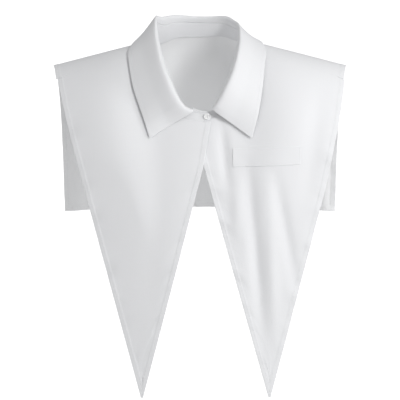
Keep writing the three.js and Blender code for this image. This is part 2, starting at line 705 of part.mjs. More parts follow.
function detachableCollar() {
  const collar = new THREE.Group();
  const right = frontGeometry(-1, RIGHT_FRONT_FOLDS, RIGHT_FRONT_INNER, RIGHT_FRONT_OUTER);
  const left = frontGeometry(1, LEFT_FRONT_FOLDS, LEFT_FRONT_INNER, LEFT_FRONT_OUTER);
  const button = piece("collar_button", buttonGeometry(), buttonMaterial());
  placeButton(button);
  collar.add(piece("front_panel_right", right, cottonMaterial()));
  collar.add(piece("front_panel_left", left, cottonMaterial()));
  collar.add(piece("back_panel", backGeometry(), cottonMaterial()));
  collar.add(piece("collar_band", bandGeometry(), cottonMaterial()));
  collar.add(piece("collar_leaf", leafGeometry(), cottonMaterial()));
  collar.add(piece("pocket_welt", weltGeometry(), cottonMaterial()));
  collar.add(button);
  return collar;
}

export default detachableCollar();
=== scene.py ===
# %% [markdown]
# # A detachable collar, made in Blender
#
# The real thing is a white cotton poplin collar with no shirt below it: a buttoned band, a folded
# leaf with two points, two long pointed fronts and a short straight back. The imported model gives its
# size and place. This lesson lays finer cloth over that model, sews it and lights it.

# %% Load the frame
import math

import bpy
import numpy as np
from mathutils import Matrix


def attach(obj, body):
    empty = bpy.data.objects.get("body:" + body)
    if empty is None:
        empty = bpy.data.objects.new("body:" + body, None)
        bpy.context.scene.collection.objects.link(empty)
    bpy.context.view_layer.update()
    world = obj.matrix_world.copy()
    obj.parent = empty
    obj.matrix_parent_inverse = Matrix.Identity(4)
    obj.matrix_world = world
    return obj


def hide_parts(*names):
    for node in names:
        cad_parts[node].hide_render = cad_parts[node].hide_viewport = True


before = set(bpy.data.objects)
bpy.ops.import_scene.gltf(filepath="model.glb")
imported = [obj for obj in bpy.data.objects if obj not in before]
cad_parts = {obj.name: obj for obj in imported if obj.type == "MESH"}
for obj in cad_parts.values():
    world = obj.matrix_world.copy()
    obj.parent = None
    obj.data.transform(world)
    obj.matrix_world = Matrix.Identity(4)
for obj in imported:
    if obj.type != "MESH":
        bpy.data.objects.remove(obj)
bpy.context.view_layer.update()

# %% [markdown]
# ## Camera
#
# The photograph was taken from in front and a little above, from far enough away that the two
# shoulders look alike. A long lens two metres off gives the same view.

# %% Camera
CAMERA_ELEVATION = 10
CAMERA_DISTANCE = 2.0
CAMERA_AIM = (0, -0.03567, -0.20228)
LENS_MM = 138.46

camera_data = bpy.data.cameras.new("camera")
camera_data.lens = LENS_MM
camera_data.sensor_width = 36
camera_data.clip_start = 0.1
camera_data.clip_end = 50
camera = bpy.data.objects.new("camera", camera_data)
bpy.context.scene.collection.objects.link(camera)
tilt = math.radians(CAMERA_ELEVATION)
camera.location = (
    CAMERA_AIM[0],
    CAMERA_AIM[1] - CAMERA_DISTANCE * math.cos(tilt),
    CAMERA_AIM[2] + CAMERA_DISTANCE * math.sin(tilt),
)
camera.rotation_euler = (math.pi / 2 - tilt, 0, 0)
bpy.context.scene.camera = camera
print("camera at", [round(v, 3) for v in camera.location])

# %% [markdown]
# ## Studio
#
# White cloth on a white ground needs light that is soft but not even, or the folds vanish. The main
# light stands to the right and above, narrow enough to leave a shadow edge inside the neck.
# A weaker one far to the right grazes the cloth, so that folds show. A weak light on the left lifts
# the shade. The world and the floor are plain white.

# %% Studio light
WORLD_LIGHT, WORLD_SEEN = 0.5, 1.05
LIGHT_DISTANCE = 2.4
# name: degrees to the right of the camera, degrees up, width and height in metres, watts
LIGHTS = {
    "main_light": (36, 26, 0.45, 0.9, 23),
    "side_light": (68, 5, 0.45, 0.8, 13),
    "left_light": (-40, 5, 0.8, 0.8, 4),
}


def area_light(name, around, above, width, height, power):
    """A soft light that faces the collar from a direction."""
    data = bpy.data.lights.new(name, "AREA")
    data.shape = "RECTANGLE"
    data.size, data.size_y = width, height
    data.energy = power
    light = bpy.data.objects.new(name, data)
    turn, lift = math.radians(around), math.radians(above)
    away = np.array([math.sin(turn) * math.cos(lift), -math.cos(turn) * math.cos(lift), math.sin(lift)])
    light.location = np.array(CAMERA_AIM) + LIGHT_DISTANCE * away
    light.rotation_euler = (math.pi / 2 - lift, 0, turn)
    bpy.context.scene.collection.objects.link(light)


for light_name, setting in LIGHTS.items():
    area_light(light_name, *setting)

world = bpy.data.worlds.new("studio")
bpy.context.scene.world = world
world.use_nodes = True
world.node_tree.nodes.clear()
seen_white, lit_white = (world.node_tree.nodes.new("ShaderNodeBackground") for _ in range(2))
for backdrop, strength in ((seen_white, WORLD_SEEN), (lit_white, WORLD_LIGHT)):
    backdrop.inputs["Color"].default_value = (1, 1, 1, 1)
    backdrop.inputs["Strength"].default_value = strength
ray = world.node_tree.nodes.new("ShaderNodeLightPath")
blend = world.node_tree.nodes.new("ShaderNodeMixShader")
world_out = world.node_tree.nodes.new("ShaderNodeOutputWorld")
world.node_tree.links.new(ray.outputs["Is Camera Ray"], blend.inputs[0])
world.node_tree.links.new(lit_white.outputs[0], blend.inputs[1])
world.node_tree.links.new(seen_white.outputs[0], blend.inputs[2])
world.node_tree.links.new(blend.outputs[0], world_out.inputs["Surface"])
bpy.context.scene.view_settings.view_transform = "Standard"

# %% [markdown]
# ## A short way to write materials
#
# A pattern such as a weave is a line of maths. Wrapping a socket in a small class lets that line
# read as maths, and one method makes every other node.

# %% Helpers for materials
class Value:
    """A socket that can stand in a sum."""

    def __init__(self, tree, socket):
        self.tree = tree
        self.socket = socket

    def maths(self, operation, *others):
        return self.tree.node("ShaderNodeMath", {"operation": operation}, dict(enumerate((self, *others))))

    def __add__(self, other):
        return self.maths("ADD", other)

    def __sub__(self, other):
        return self.maths("SUBTRACT", other)

    def __mul__(self, other):
        return self.maths("MULTIPLY", other)

    def __rsub__(self, other):
        return (self * -1).maths("ADD", other)

    __radd__ = __add__
    __rmul__ = __mul__

    def sin(self):
        return self.maths("SINE")

    def clamp(self, low, high):
        return self.maths("MAXIMUM", low).maths("MINIMUM", high)


class Tree:
    """Anything made of nodes."""

    def feed(self, socket, value):
        if isinstance(value, Value):
            self.tree.links.new(value.socket, socket)
        else:
            socket.default_value = value

    def node(self, kind, settings, sockets, out=0):
        """A node of one type: its settings first, then its sockets. Gives one of its outputs."""
        node = self.tree.nodes.new(kind)
        for name, value in settings.items():
            setattr(node, name, value)
        for name, value in sockets.items():
            self.feed(node.inputs[name], value)
        return Value(self, node.outputs[out])


class Paint(Tree):
    """A material's node tree, with its principled shader."""

    def __init__(self, name):
        self.material = bpy.data.materials.new(name)
        self.material.use_nodes = True
        self.tree = self.material.node_tree
        self.shader = self.tree.nodes["Principled BSDF"]

    def set(self, **sockets):
        for name, value in sockets.items():
            self.feed(self.shader.inputs[name.replace("_", " ")], value)


def noise(paint, place, scale, detail, roughness=0.5, distortion=0.0):
    """Soft random values between 0 and 1."""
    sockets = {"Vector": place, "Scale": scale, "Detail": detail, "Roughness": roughness}
    return paint.node("ShaderNodeTexNoise", {}, {**sockets, "Distortion": distortion})


# %% [markdown]
# ## Floor
#
# The photograph's ground is pure white, which a lit floor never quite is. So the floor is pale and
# glows a little, and it throws no light back onto the cloth, where it would wash out the folds.

# %% Floor
def floor_paint():
    """A pale matt floor with a trace of its own light, as a lit studio floor has."""
    paint = Paint("studio_floor")
    paint.set(Base_Color=(0.9, 0.9, 0.9, 1), Roughness=0.9)
    paint.set(Emission_Color=(1, 1, 1, 1), Emission_Strength=0.8)
    return paint.material


FLOOR_LEVEL, FLOOR_REACH = -1.3, 40
floor_mesh = bpy.data.meshes.new("floor")
turns = ((-1, -1), (1, -1), (1, 1), (-1, 1))
corners = [(x * FLOOR_REACH, y * FLOOR_REACH, FLOOR_LEVEL) for x, y in turns]
floor_mesh.from_pydata(corners, [], [(0, 1, 2, 3)])
floor = bpy.data.objects.new("floor", floor_mesh)
floor.data.materials.append(floor_paint())
bpy.context.scene.collection.objects.link(floor)
floor.visible_diffuse = False
print("floor at", FLOOR_LEVEL, "m")

# %% [markdown]
# ## The body under the cloth
#
# A worn collar takes its shape from the shoulders, chest and back, although nobody is there. The
# form is a ridge along the shoulders with a quarter ellipse in front and behind. These are the same
# sizes, in millimetres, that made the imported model, so the fine cloth lies where the model is.

# %% Sizes of the form
MM = 0.001
NECK_HALF_WIDTH, NECK_BACK_DEPTH, NECK_DROP, NECK_ASIDE = 65, 62, 94, -2
SHOULDER_HALF_WIDTH = 191
RIDGE_HEIGHT, RIDGE_SLOPE, RIDGE_ROUNDING = 12.5, 0.264, 30
NECK_RISE, NECK_RISE_SPREAD = 28, 50
CHEST_DEPTH, BACK_DEPTH, SHOULDER_DEPTH_LOSS = 100, 95, 35
CHEST_FALL, CHEST_FALL_AT_NECK, CHEST_FALL_SPREAD = 130, 220, 80
BACK_FALL = 150


def mix(a, b, share):
    """What lies a share of the way from one value to another."""
    return a + (b - a) * share


def ridge_height(x):
    """Height of the shoulder line, which rises towards the neck."""
    slope = RIDGE_SLOPE * (np.hypot(x, RIDGE_ROUNDING) - RIDGE_ROUNDING)
    return RIDGE_HEIGHT + NECK_RISE * np.exp(-((x / NECK_RISE_SPREAD) ** 4)) - slope


def form_depth(x, side):
    """How far the form reaches in front of the ridge (side -1) or behind it (side 1)."""
    middle = np.where(np.asarray(side) < 0, CHEST_DEPTH, BACK_DEPTH)
    return middle - SHOULDER_DEPTH_LOSS * (x / SHOULDER_HALF_WIDTH) ** 2


def form_fall(x, side):
    """How far below the ridge the form gets upright."""
    chest = CHEST_FALL + CHEST_FALL_AT_NECK * np.exp(-np.abs(x / CHEST_FALL_SPREAD) ** 3)
    return np.where(np.asarray(side) < 0, chest, BACK_FALL)


def form_reach(x, z, side):
    """y of the form at a height."""
    share = np.clip((ridge_height(x) - z) / form_fall(x, side), 0, 1)
    return side * form_depth(x, side) * np.sqrt(1 - (1 - share) ** 2)


def form_height(x, y):
    """z of the form at a depth."""
    side = np.where(np.asarray(y) < 0, -1, 1)
    share = np.minimum(1, np.abs(y) / form_depth(x, side))
    return ridge_height(x) - form_fall(x, side) * (1 - np.sqrt(1 - share * share))


print("form: ridge", round(float(ridge_height(0.0)), 1), "mm high at the neck")

# %% [markdown]
# ## The neck seam
#
# Every piece starts at the seam round the neck. It is a closed curve through the rows of a short
# table. A centripetal curve is used because it passes evenly spaced and crowded points alike
# without loops. The same kind of curve bends the leaf over its fold later on.

# %% Neck seam
NECK_STATIONS = [
    # share of the half width, drop in front or depth behind,
    # then shares of band height, band lean, leaf rise, leaf stand, band tilt and leaf hug
    (0, "down", 1, 0.56, 0.24, 0.15, 0.1, 0, 1),
    (0.232, "down", 0.975, 0.6, 0.24, 0.2, 0.3, 0.23, 0.8),
    (0.347, "down", 0.93, 0.72, 0.3, 0.3, 0.6, 0.35, 0.4),
    (0.577, "down", 0.69, 0.82, 0.45, 0.5, 0.95, 0.58, 0.1),
    (0.777, "down", 0.45, 0.9, 0.65, 0.7, 0.85, 0.78, 0),
    (0.93, "down", 0.2, 0.92, 0.85, 0.85, 0.45, 0.93, 0),
    (0.99, "down", 0.06, 0.9, 0.95, 0.85, 0.15, 1.1, 0),
    (1, "back", 0, 0.87, 1, 0.9, 0, 1.35, 0),
    (0.93, "back", 0.42, 1.06, 0.95, 1, 0, 1, 0),
    (0.72, "back", 0.74, 1.1, 0.7, 1.25, 0, 0.6, 0),
    (0.38, "back", 0.94, 0.97, 0.45, 0.9, 0, 0.33, 0),
    (0, "back", 1, 0.95, 0.4, 0.8, 0, 0, 0),
]
HEIGHT_COLUMN, LEAN_COLUMN, RISE_COLUMN, STAND_COLUMN, TILT_COLUMN, HUG_COLUMN = 3, 4, 5, 6, 7, 8
LAST_STATION = len(NECK_STATIONS) - 1
NECK_LOOP = 2 * LAST_STATION
SHOULDER_SEAM_FORWARD = 33
# how far the front and the back stay off the line of the shoulder seam
FRONT_OFF_SEAM, BACK_OFF_SEAM = 0.2, 0.1
SAME_PLACE, SHORT_STEP, HALVINGS, SEAM_POINTS = 1e-4, 1e-4, 40, 400


class SmoothCurve:
    """A smooth curve through points, open or closed. Its places run from 0 to 1."""

    def __init__(self, points, closed):
        self.points = np.array(points, float)
        self.closed = closed

    def at(self, places):
        """Points at places along the curve."""
        points, count = self.points, len(self.points)
        along = np.atleast_1d(np.asarray(places, float)) * (count if self.closed else count - 1)
        low = np.floor(along).astype(int)
        if self.closed:
            before, start, end, after = (points[(low + step) % count] for step in (-1, 0, 1, 2))
        else:
            low = np.clip(low, 0, count - 2)
            padded = np.vstack([2 * points[0] - points[1], points, 2 * points[-1] - points[-2]])
            before, start, end, after = (padded[low + step] for step in (0, 1, 2, 3))
        share = (along - low)[:, None]
        knots = (before, start, end, after)
        spans = [np.sqrt(np.linalg.norm(b - a, axis=1))[:, None] for a, b in zip(knots, knots[1:])]
        spans[1] = np.where(spans[1] < SAME_PLACE, 1, spans[1])
        first, middle, last = (np.where(span < SAME_PLACE, spans[1], span) for span in spans)
        leave = (start - before) / first - (end - before) / (first + middle) + (end - start) / middle
        arrive = (end - start) / middle - (after - start) / (middle + last) + (after - end) / last
        leave, arrive = leave * middle, arrive * middle
        square = -3 * start + 3 * end - 2 * leave - arrive
        cube = 2 * start - 2 * end + leave + arrive
        return start + share * (leave + share * (square + share * cube))


def neck_station_point(row, side):
    """The point of the seam that a row of the table gives, on one side of the neck."""
    out, kind, share = row[:3]
    x = side * out * NECK_HALF_WIDTH + NECK_ASIDE
    if kind == "down":
        return (x, float(form_reach(x, -share * NECK_DROP, -1)), -share * NECK_DROP)
    return (x, share * NECK_BACK_DEPTH, float(form_height(x, share * NECK_BACK_DEPTH)))


half_loop = [neck_station_point(row, 1) for row in NECK_STATIONS]
other_half = [neck_station_point(row, -1) for row in NECK_STATIONS[LAST_STATION - 1 : 0 : -1]]
NECK_SEAM = SmoothCurve(half_loop + other_half, closed=True)


def seam_point(station):
    """Points of the neck seam, brought onto the form."""
    point = NECK_SEAM.at(np.mod(station, NECK_LOOP) / NECK_LOOP)
    x, y, z = point.T
    front = y < -SHOULDER_SEAM_FORWARD
    on_form = np.where(front, form_reach(x, z, -1), y), np.where(front, z, form_height(x, y))
    return np.stack([x, *on_form], axis=1)


def seam_outward(station):
    """Level direction away from the neck."""
    place = np.mod(np.atleast_1d(station), NECK_LOOP) / NECK_LOOP
    after, before = np.minimum(1, place + SHORT_STEP), np.maximum(0, place - SHORT_STEP)
    along = NECK_SEAM.at(after) - NECK_SEAM.at(before)
    outward = np.stack([along[:, 1], -along[:, 0], 0 * along[:, 0]], axis=1)
    return outward / np.linalg.norm(outward, axis=1)[:, None]


def neck_value(column, station):
    """A column of the neck table, smooth between its rows."""
    wrapped = np.mod(station, NECK_LOOP)
    index = np.where(wrapped > LAST_STATION, NECK_LOOP - wrapped, wrapped)
    knots = np.array([row[column] for row in NECK_STATIONS], float)
    low = np.clip(np.floor(index).astype(int), 0, LAST_STATION - 1)
    knot = lambda n: knots[np.clip(n, 0, LAST_STATION)]
    share = index - low
    leave, arrive = (knot(low + 1) - knot(low - 1)) / 2, (knot(low + 2) - knot(low)) / 2
    rise = knot(low + 1) - knot(low)
    square, cube = 3 * rise - 2 * leave - arrive, leave + arrive - 2 * rise
    return knot(low) + share * (leave + share * (square + share * cube))


def station_where(start, end, holds):
    """The station between two others where a test of its point first fails."""
    near, far = start, end
    for _ in range(HALVINGS):
        middle = (near + far) / 2
        near, far = (middle, far) if holds(seam_point([middle])[0]) else (near, middle)
    return near


def shoulder_station(side):
    """The station where the neck seam meets a shoulder seam."""
    return station_where(2 * side, LAST_STATION * side, lambda p: p[1] < -SHOULDER_SEAM_FORWARD)


round_the_neck = seam_point(np.linspace(0, NECK_LOOP, SEAM_POINTS))
print("neck seam", round(np.linalg.norm(np.diff(round_the_neck, axis=0), axis=1).sum()), "mm round")

# %% [markdown]
# ## From a grid to sewn cloth
#
# Cloth could be a flat plane with a Solidify modifier, but a real hem is three layers thick and its
# edge is a fold, not a cut. So each piece is a grid on the form, and its thickness is worked out
# from how far a point is from the edge: round at the fold, thick in the hem, thin past the stitches.
# The same distances in metres make the UV map, so the weave runs straight through each piece.

# %% Cloth from a grid
# thicknesses in mm: one layer with its air, then hemmed, interlined and folded ones
CLOTH, HEM_CLOTH, BAND_CLOTH, LEAF_CLOTH, WELT_CLOTH = 0.6, 1.15, 1.7, 1.5, 0.7
HEM_WIDTH, HEM_STITCH = 6.5, 5.4
# the hem's step down: how far it starts inside the hem's width, and how wide it is
HEM_STEP_INSIDE, HEM_STEP_WIDTH = 0.7, 1.8
SEWN_DEPTH, SEWN_SPREAD = 0.1, 0.5
# distances from a hemmed edge that have a line of points, and the most of a width that they may take
EDGE_STEPS, EDGE_MOST = [0, 0.05, 0.2, 0.45, 0.8, 2, 3.7, 5, 5.4, 5.8, 6.3, 6.8, 7.5, 9], 0.46
THINNEST = 0.015


def edge_spread(width, middle_count, first=True):
    """Shares across a width: crowded at hemmed edges, even between. The first edge may be plain."""
    steps = np.array(EDGE_STEPS) * min(1, EDGE_MOST * width / EDGE_STEPS[-1]) / width
    low = steps if first else np.array([0.0])
    high = 1 - steps[::-1]
    return np.concatenate([low, np.linspace(low[-1], high[0], middle_count + 2)[1:-1], high])


def fold_round(distance, thickness):
    """Share of the full thickness near a folded edge."""
    inside = np.clip(distance / (thickness / 2), 0, 1)
    return np.sqrt(np.clip(1 - (1 - inside) ** 2, THINNEST, 1))


def hem_thickness(distance, single, hemmed):
    """Thickness of a hemmed cloth at a distance from its folded edge."""
    inside = np.clip((distance - HEM_WIDTH + HEM_STEP_INSIDE) / HEM_STEP_WIDTH, 0, 1)
    full = mix(hemmed, single, inside * inside * (3 - 2 * inside))
    sewn = SEWN_DEPTH * np.exp(-(((distance - HEM_STITCH) / SEWN_SPREAD) ** 2))
    return (full - sewn) * fold_round(distance, hemmed)


def lengths(points, axis):
    """Length along each row or column of a grid of points."""
    steps = np.linalg.norm(np.diff(points, axis=axis), axis=2)
    return np.insert(np.cumsum(steps, axis=axis), 0, 0, axis=axis)


class Cloth:
    """Points of a cloth's middle surface, its four-cornered cells, its thickness and its flat pattern."""

    def __init__(self, points, cells, thickness, flat):
        self.points = np.asarray(points, float)
        self.cells = np.asarray(cells, int)
        self.thickness = np.asarray(thickness, float)
        self.flat = np.asarray(flat, float)
        corner = self.points[self.cells]
        across = np.cross(corner[:, 2] - corner[:, 0], corner[:, 3] - corner[:, 1])
        self.area = np.linalg.norm(across, axis=1).sum() / 2
        normals = np.zeros_like(self.points)
        for place in range(4):
            np.add.at(normals, self.cells[:, place], across)
        self.normals = normals / np.maximum(np.linalg.norm(normals, axis=1), 1e-9)[:, None]


def grid_cells(rows, columns, turned=False):
    """The cells of a grid of points. Turned ones face the other way."""
    first = (np.arange(rows - 1)[:, None] * columns + np.arange(columns - 1)[None, :]).ravel()
    cells = np.stack([first, first + columns, first + columns + 1, first + 1], axis=1)
    return cells[:, ::-1] if turned else cells


def grid_cloth(points, thickness, flat, turned=False):
    """A cloth made of one grid of points, and the shape of that grid."""
    shape = points.shape[:2]
    cells = grid_cells(*shape, turned=turned)
    return Cloth(points.reshape(-1, 3), cells, thickness.ravel(), flat.reshape(-1, 2)), shape


def cloth_object(name, cloth, paint, inner_paint=None):
    """A closed mesh: an outer and an inner layer, joined round every open edge."""
    count = len(cloth.points)
    half = cloth.normals * (cloth.thickness / 2)[:, None]
    positions = np.vstack([cloth.points + half, cloth.points - half]) * MM
    edges = {}
    for cell in cloth.cells.tolist():
        for place in range(4):
            edge = (cell[place], cell[(place + 1) % 4])
            if edges.pop((edge[1], edge[0]), None) is None:
                edges[edge] = True
    walls = [(a, count + a, count + b, b) for a, b in edges]
    faces = cloth.cells.tolist() + (cloth.cells[:, ::-1] + count).tolist() + walls
    mesh = bpy.data.meshes.new(name)
    mesh.from_pydata(positions.tolist(), [], faces)
    flat = np.vstack([cloth.flat, cloth.flat]) * MM
    layer = mesh.uv_layers.new(name="UVMap")
    corner = np.zeros(len(mesh.loops), int)
    mesh.loops.foreach_get("vertex_index", corner)
    layer.data.foreach_set("uv", flat[corner].astype(np.float32).ravel())
    mesh.shade_smooth()
    mesh.materials.append(paint)
    if inner_paint:
        mesh.materials.append(inner_paint)
        layers = np.repeat([0, 1, 0], [len(cloth.cells), len(cloth.cells), len(walls)])
        mesh.polygons.foreach_set("material_index", layers.astype(np.int32))
    thing = bpy.data.objects.new(name, mesh)
    bpy.context.scene.collection.objects.link(thing)
    print(name, len(mesh.polygons), "faces,", round(cloth.area / 1e6, 4), "m2 of cloth")
    return thing


# %% [markdown]
# ## Cotton poplin
#
# Poplin is a plain weave with fine warp threads packed closely over slightly thicker weft, so it
# shows a faint rib across the cloth. The colour is not one white: single threads are thicker here
# and there, and pressing leaves soft patches. Weave and threads read the UV map, in metres.

# %% Cotton material
WARP_PITCH = 0.00032
WEFT_PITCH = 0.00048
# how many widths and how many lengths of a thick thread fit in a metre, for warp and weft
THICK_THREADS = ((900, 9, 1), (9, 700, 1))
WHITE_COTTON = (0.80, 0.805, 0.82)


def cotton(name, tint, rib, rough):
    """White poplin: rib is the strength of its weave, tint its colour."""
    paint = Paint(name)
    place = paint.node("ShaderNodeTexCoord", {}, {}, "UV")
    split = paint.tree.nodes.new("ShaderNodeSeparateXYZ")
    paint.feed(split.inputs[0], place)
    across, along = Value(paint, split.outputs[0]), Value(paint, split.outputs[1])
    warp = (across * (2 * math.pi / WARP_PITCH)).sin()
    weft = (along * (2 * math.pi / WEFT_PITCH)).sin()
    weave = warp * weft * 0.35 + weft * 0.15
    slubs = []
    for scale in THICK_THREADS:
        threads = paint.node("ShaderNodeMapping", {}, {"Vector": place, "Scale": scale})
        slubs.append((noise(paint, threads, 1.0, 2.0) - 0.5).clamp(0, 1))
    slub = slubs[0] + slubs[1]
    spot = paint.node("ShaderNodeTexCoord", {}, {}, "Object")
    pressed = noise(paint, spot, 14.0, 3.0, 0.55)
    crumple = noise(paint, spot, 60.0, 4.0, 0.6)
    shade = (pressed * 0.5 + slub * 0.55 + weave * 0.08).clamp(0, 1)
    darker = tuple(channel * 0.965 for channel in tint) + (1,)
    lighter = tuple(min(1, channel * 1.015) for channel in tint) + (1,)
    colour = paint.node("ShaderNodeMix", {"data_type": "RGBA"}, {0: shade, 6: lighter, 7: darker}, 2)
    height = weave * rib + slub * 0.6 + crumple * 1.6
    bump = paint.node("ShaderNodeBump", {}, {"Strength": 0.5, "Distance": 0.00012, "Height": height})
    paint.set(Base_Color=colour, Roughness=pressed * 0.12 + rough, Normal=bump)
    paint.set(Sheen_Weight=0.12, Sheen_Roughness=0.5, Specular_IOR_Level=0.3)
    return paint.material


POPLIN = cotton("poplin", WHITE_COTTON, 0.5, 0.8)
# painted light: a lighter copy of the cotton for the inside of the back, standing in for light through thin
# cloth
POPLIN_PAINTED_LIGHT = cotton("poplin_painted_light", (0.93, 0.935, 0.94), 0.5, 0.8)
POPLIN_LINED = cotton("poplin_lined", WHITE_COTTON, 0.4, 0.76)
print("materials:", POPLIN.name, POPLIN_PAINTED_LIGHT.name, POPLIN_LINED.name)

# %% [markdown]
# ## Fronts
#
# Each front runs from the shoulder seam and the neck to a long point. Its rows join an inner edge,
# along the neck and then the opening, to an outer edge, along the armhole. The wearer's right front
# lies over the left one just below the collar, so the two are parted there.

# %% Fronts
FRONT_LENGTH, TIP_WIDTH = 451, 3
FRONT_LAP, LAP_SPREAD = 2.6, 45
# shares of the length: where the lap has faded out, and how long it takes
LAP_END, LAP_FADE = 0.65, 0.3
FRONT_SEAM_Y = -SHOULDER_SEAM_FORWARD - FRONT_OFF_SEAM
RIGHT_FRONT_INNER = [(0.21, 0.07), (0.328, 0.023), (1, -0.392)]
RIGHT_FRONT_OUTER = [(0.1, -0.957), (1, -0.392)]
LEFT_FRONT_INNER = [(0.21, -0.052), (0.328, 0.023), (1, 0.47)]
LEFT_FRONT_OUTER = [(0.1, 0.974), (0.228, 0.919), (0.404, 0.832), (1, 0.47)]
# folds: share of the half width at the top and bottom, shares of the length from and to, width, depth
RIGHT_FRONT_FOLDS = [(-0.24, -0.36, 0.25, 0.8, 14, 0.5), (-0.1, -0.26, 0.25, 0.75, 18, -0.8)]
LEFT_FRONT_FOLDS = [
    (0.14, 0.18, 0.2, 0.4, 6, 4),
    (0.245, 0.25, 0.345, 0.55, 8, -2.5),
    (0.315, 0.425, 0.3, 0.85, 8, 4.5),
    (0.45, 0.51, 0.345, 0.87, 8, -2.5),
    (0.48, 0.66, 0.32, 0.72, 8, 3.4),
    (0.8, 0.7, 0.1, 0.46, 12, 3),
]
# waves of a free hem: length and depth
HEM_WAVES, HEM_WAVE_SPREAD = ((61, 0.5), (37, 0.4), (23, 0.25), (11, 0.1)), 11
OUTER_PHASE, INNER_PHASE = 0.31, 0.17
FRONT_NECK_ROWS, FRONT_OPEN_ROWS, FRONT_COLUMNS = 40, 120, 34
# share of the length that the armhole edge falls below the opening's top, beside the end of the neck rows
SIDE_FALL = 0.08
# rows over which the inner hem starts and its waves grow, and mm from top and tip where the cloth is held
HEM_STARTS, LOOSE_ROWS, HELD_TOP, HELD_TIP = 4, 12, 60, 150
ARC_STEPS = 12
NECK_STEPS = [0, 0.002, 0.006, 0.012]
TIP_STEPS = np.array([0.8, 0.45, 0.2, 0.05, 0])


def lap_share(x):
    """How much the fronts are parted: fully in the middle, not at all at the sides."""
    return np.exp(-((x / LAP_SPREAD) ** 2))


def fold_depth(folds, x, z):
    """Depth of all folds at a place, positive into the cloth."""
    depth = 0 * x
    for top, bottom, start, end, width, deep in folds:
        share = (-z / FRONT_LENGTH - start) / (end - start)
        inside = np.clip(share, 0, 1)
        middle = mix(top, bottom, inside) * SHOULDER_HALF_WIDTH
        depth = depth + deep * np.sin(np.pi * inside) * np.exp(-(((x - middle) / width) ** 2))
    return depth


def edge_x(edge, z):
    """How far out an edge is at a height."""
    downs, outs = np.array(edge).T
    down = -np.asarray(z, float) / FRONT_LENGTH
    out = np.interp(down, downs, outs)
    slope = (outs[1] - outs[0]) / (downs[1] - downs[0])
    return np.where(down < downs[0], outs[0] + slope * (down - downs[0]), out) * SHOULDER_HALF_WIDTH


def front_point(side, folds, x, z):
    """The surface of a front at a place seen from the front."""
    fade = np.clip((z + LAP_END * FRONT_LENGTH) / (LAP_FADE * FRONT_LENGTH), 0, 1)
    lap = side * 0.5 * FRONT_LAP * lap_share(x) * fade
    return np.stack([x, form_reach(x, z, -1) + lap + fold_depth(folds, x, z), z], axis=-1)


def flutter(along, edge, phase):
    """Small waves of a free hem: the stitches draw it in a little, and the cloth beside it ripples."""
    waves = 0 * along
    for length, deep in HEM_WAVES:
        waves = waves + deep * np.sin(2 * np.pi * along / length + phase * length)
    return waves * np.exp(-((edge / HEM_WAVE_SPREAD) ** 2))


def form_arc(x, z, side):
    """Length along the form from the ridge down to a height."""
    depth, fall = form_depth(x, side), form_fall(x, side)
    drop = (ridge_height(x) - z) / fall
    turn = np.arccos(1 - np.clip(drop, 0, 1))
    arc = 0 * x
    for step in range(ARC_STEPS):
        angle = turn * (step + 0.5) / ARC_STEPS
        arc = arc + np.hypot(depth * np.cos(angle), fall * np.sin(angle)) * turn / ARC_STEPS
    return arc + np.maximum(0, drop - 1) * fall


def front_rows(side, inner_edge, outer_edge):
    """Inner and outer ends of the rows of a front, seen from the front."""
    open_z = -inner_edge[0][0] * FRONT_LENGTH
    open_x = inner_edge[0][1] * SHOULDER_HALF_WIDTH
    middle_station = station_where(-2, 2, lambda p: p[0] < open_x)
    top_x = outer_edge[0][1] * SHOULDER_HALF_WIDTH
    top_z = float(form_height(top_x, FRONT_SEAM_Y))
    turn_z = open_z - SIDE_FALL * FRONT_LENGTH
    along = np.array(NECK_STEPS + list(np.linspace(0.02, 1, FRONT_NECK_ROWS)[:-1]))
    inner = seam_point(mix(shoulder_station(side), middle_station, along))
    inner[0, 2] = form_height(inner[0, 0], FRONT_SEAM_Y)
    outer_z = mix(top_z, turn_z, along)
    neck = np.stack([inner[:, 0], inner[:, 2], edge_x(outer_edge, outer_z), outer_z], axis=1)
    neck[0, 2] = top_x
    near_tip = 1 - TIP_STEPS / (FRONT_LENGTH + open_z)
    share = np.concatenate([np.linspace(0, near_tip[0], FRONT_OPEN_ROWS), near_tip[1:]])
    inner_z, outer_z = mix(open_z, -FRONT_LENGTH, share), mix(turn_z, -FRONT_LENGTH, share)
    tip = share * side * 0.5 * TIP_WIDTH
    inner_x, outer_x = edge_x(inner_edge, inner_z) - tip, edge_x(outer_edge, outer_z) + tip
    return neck, np.stack([inner_x, inner_z, outer_x, outer_z], axis=1)


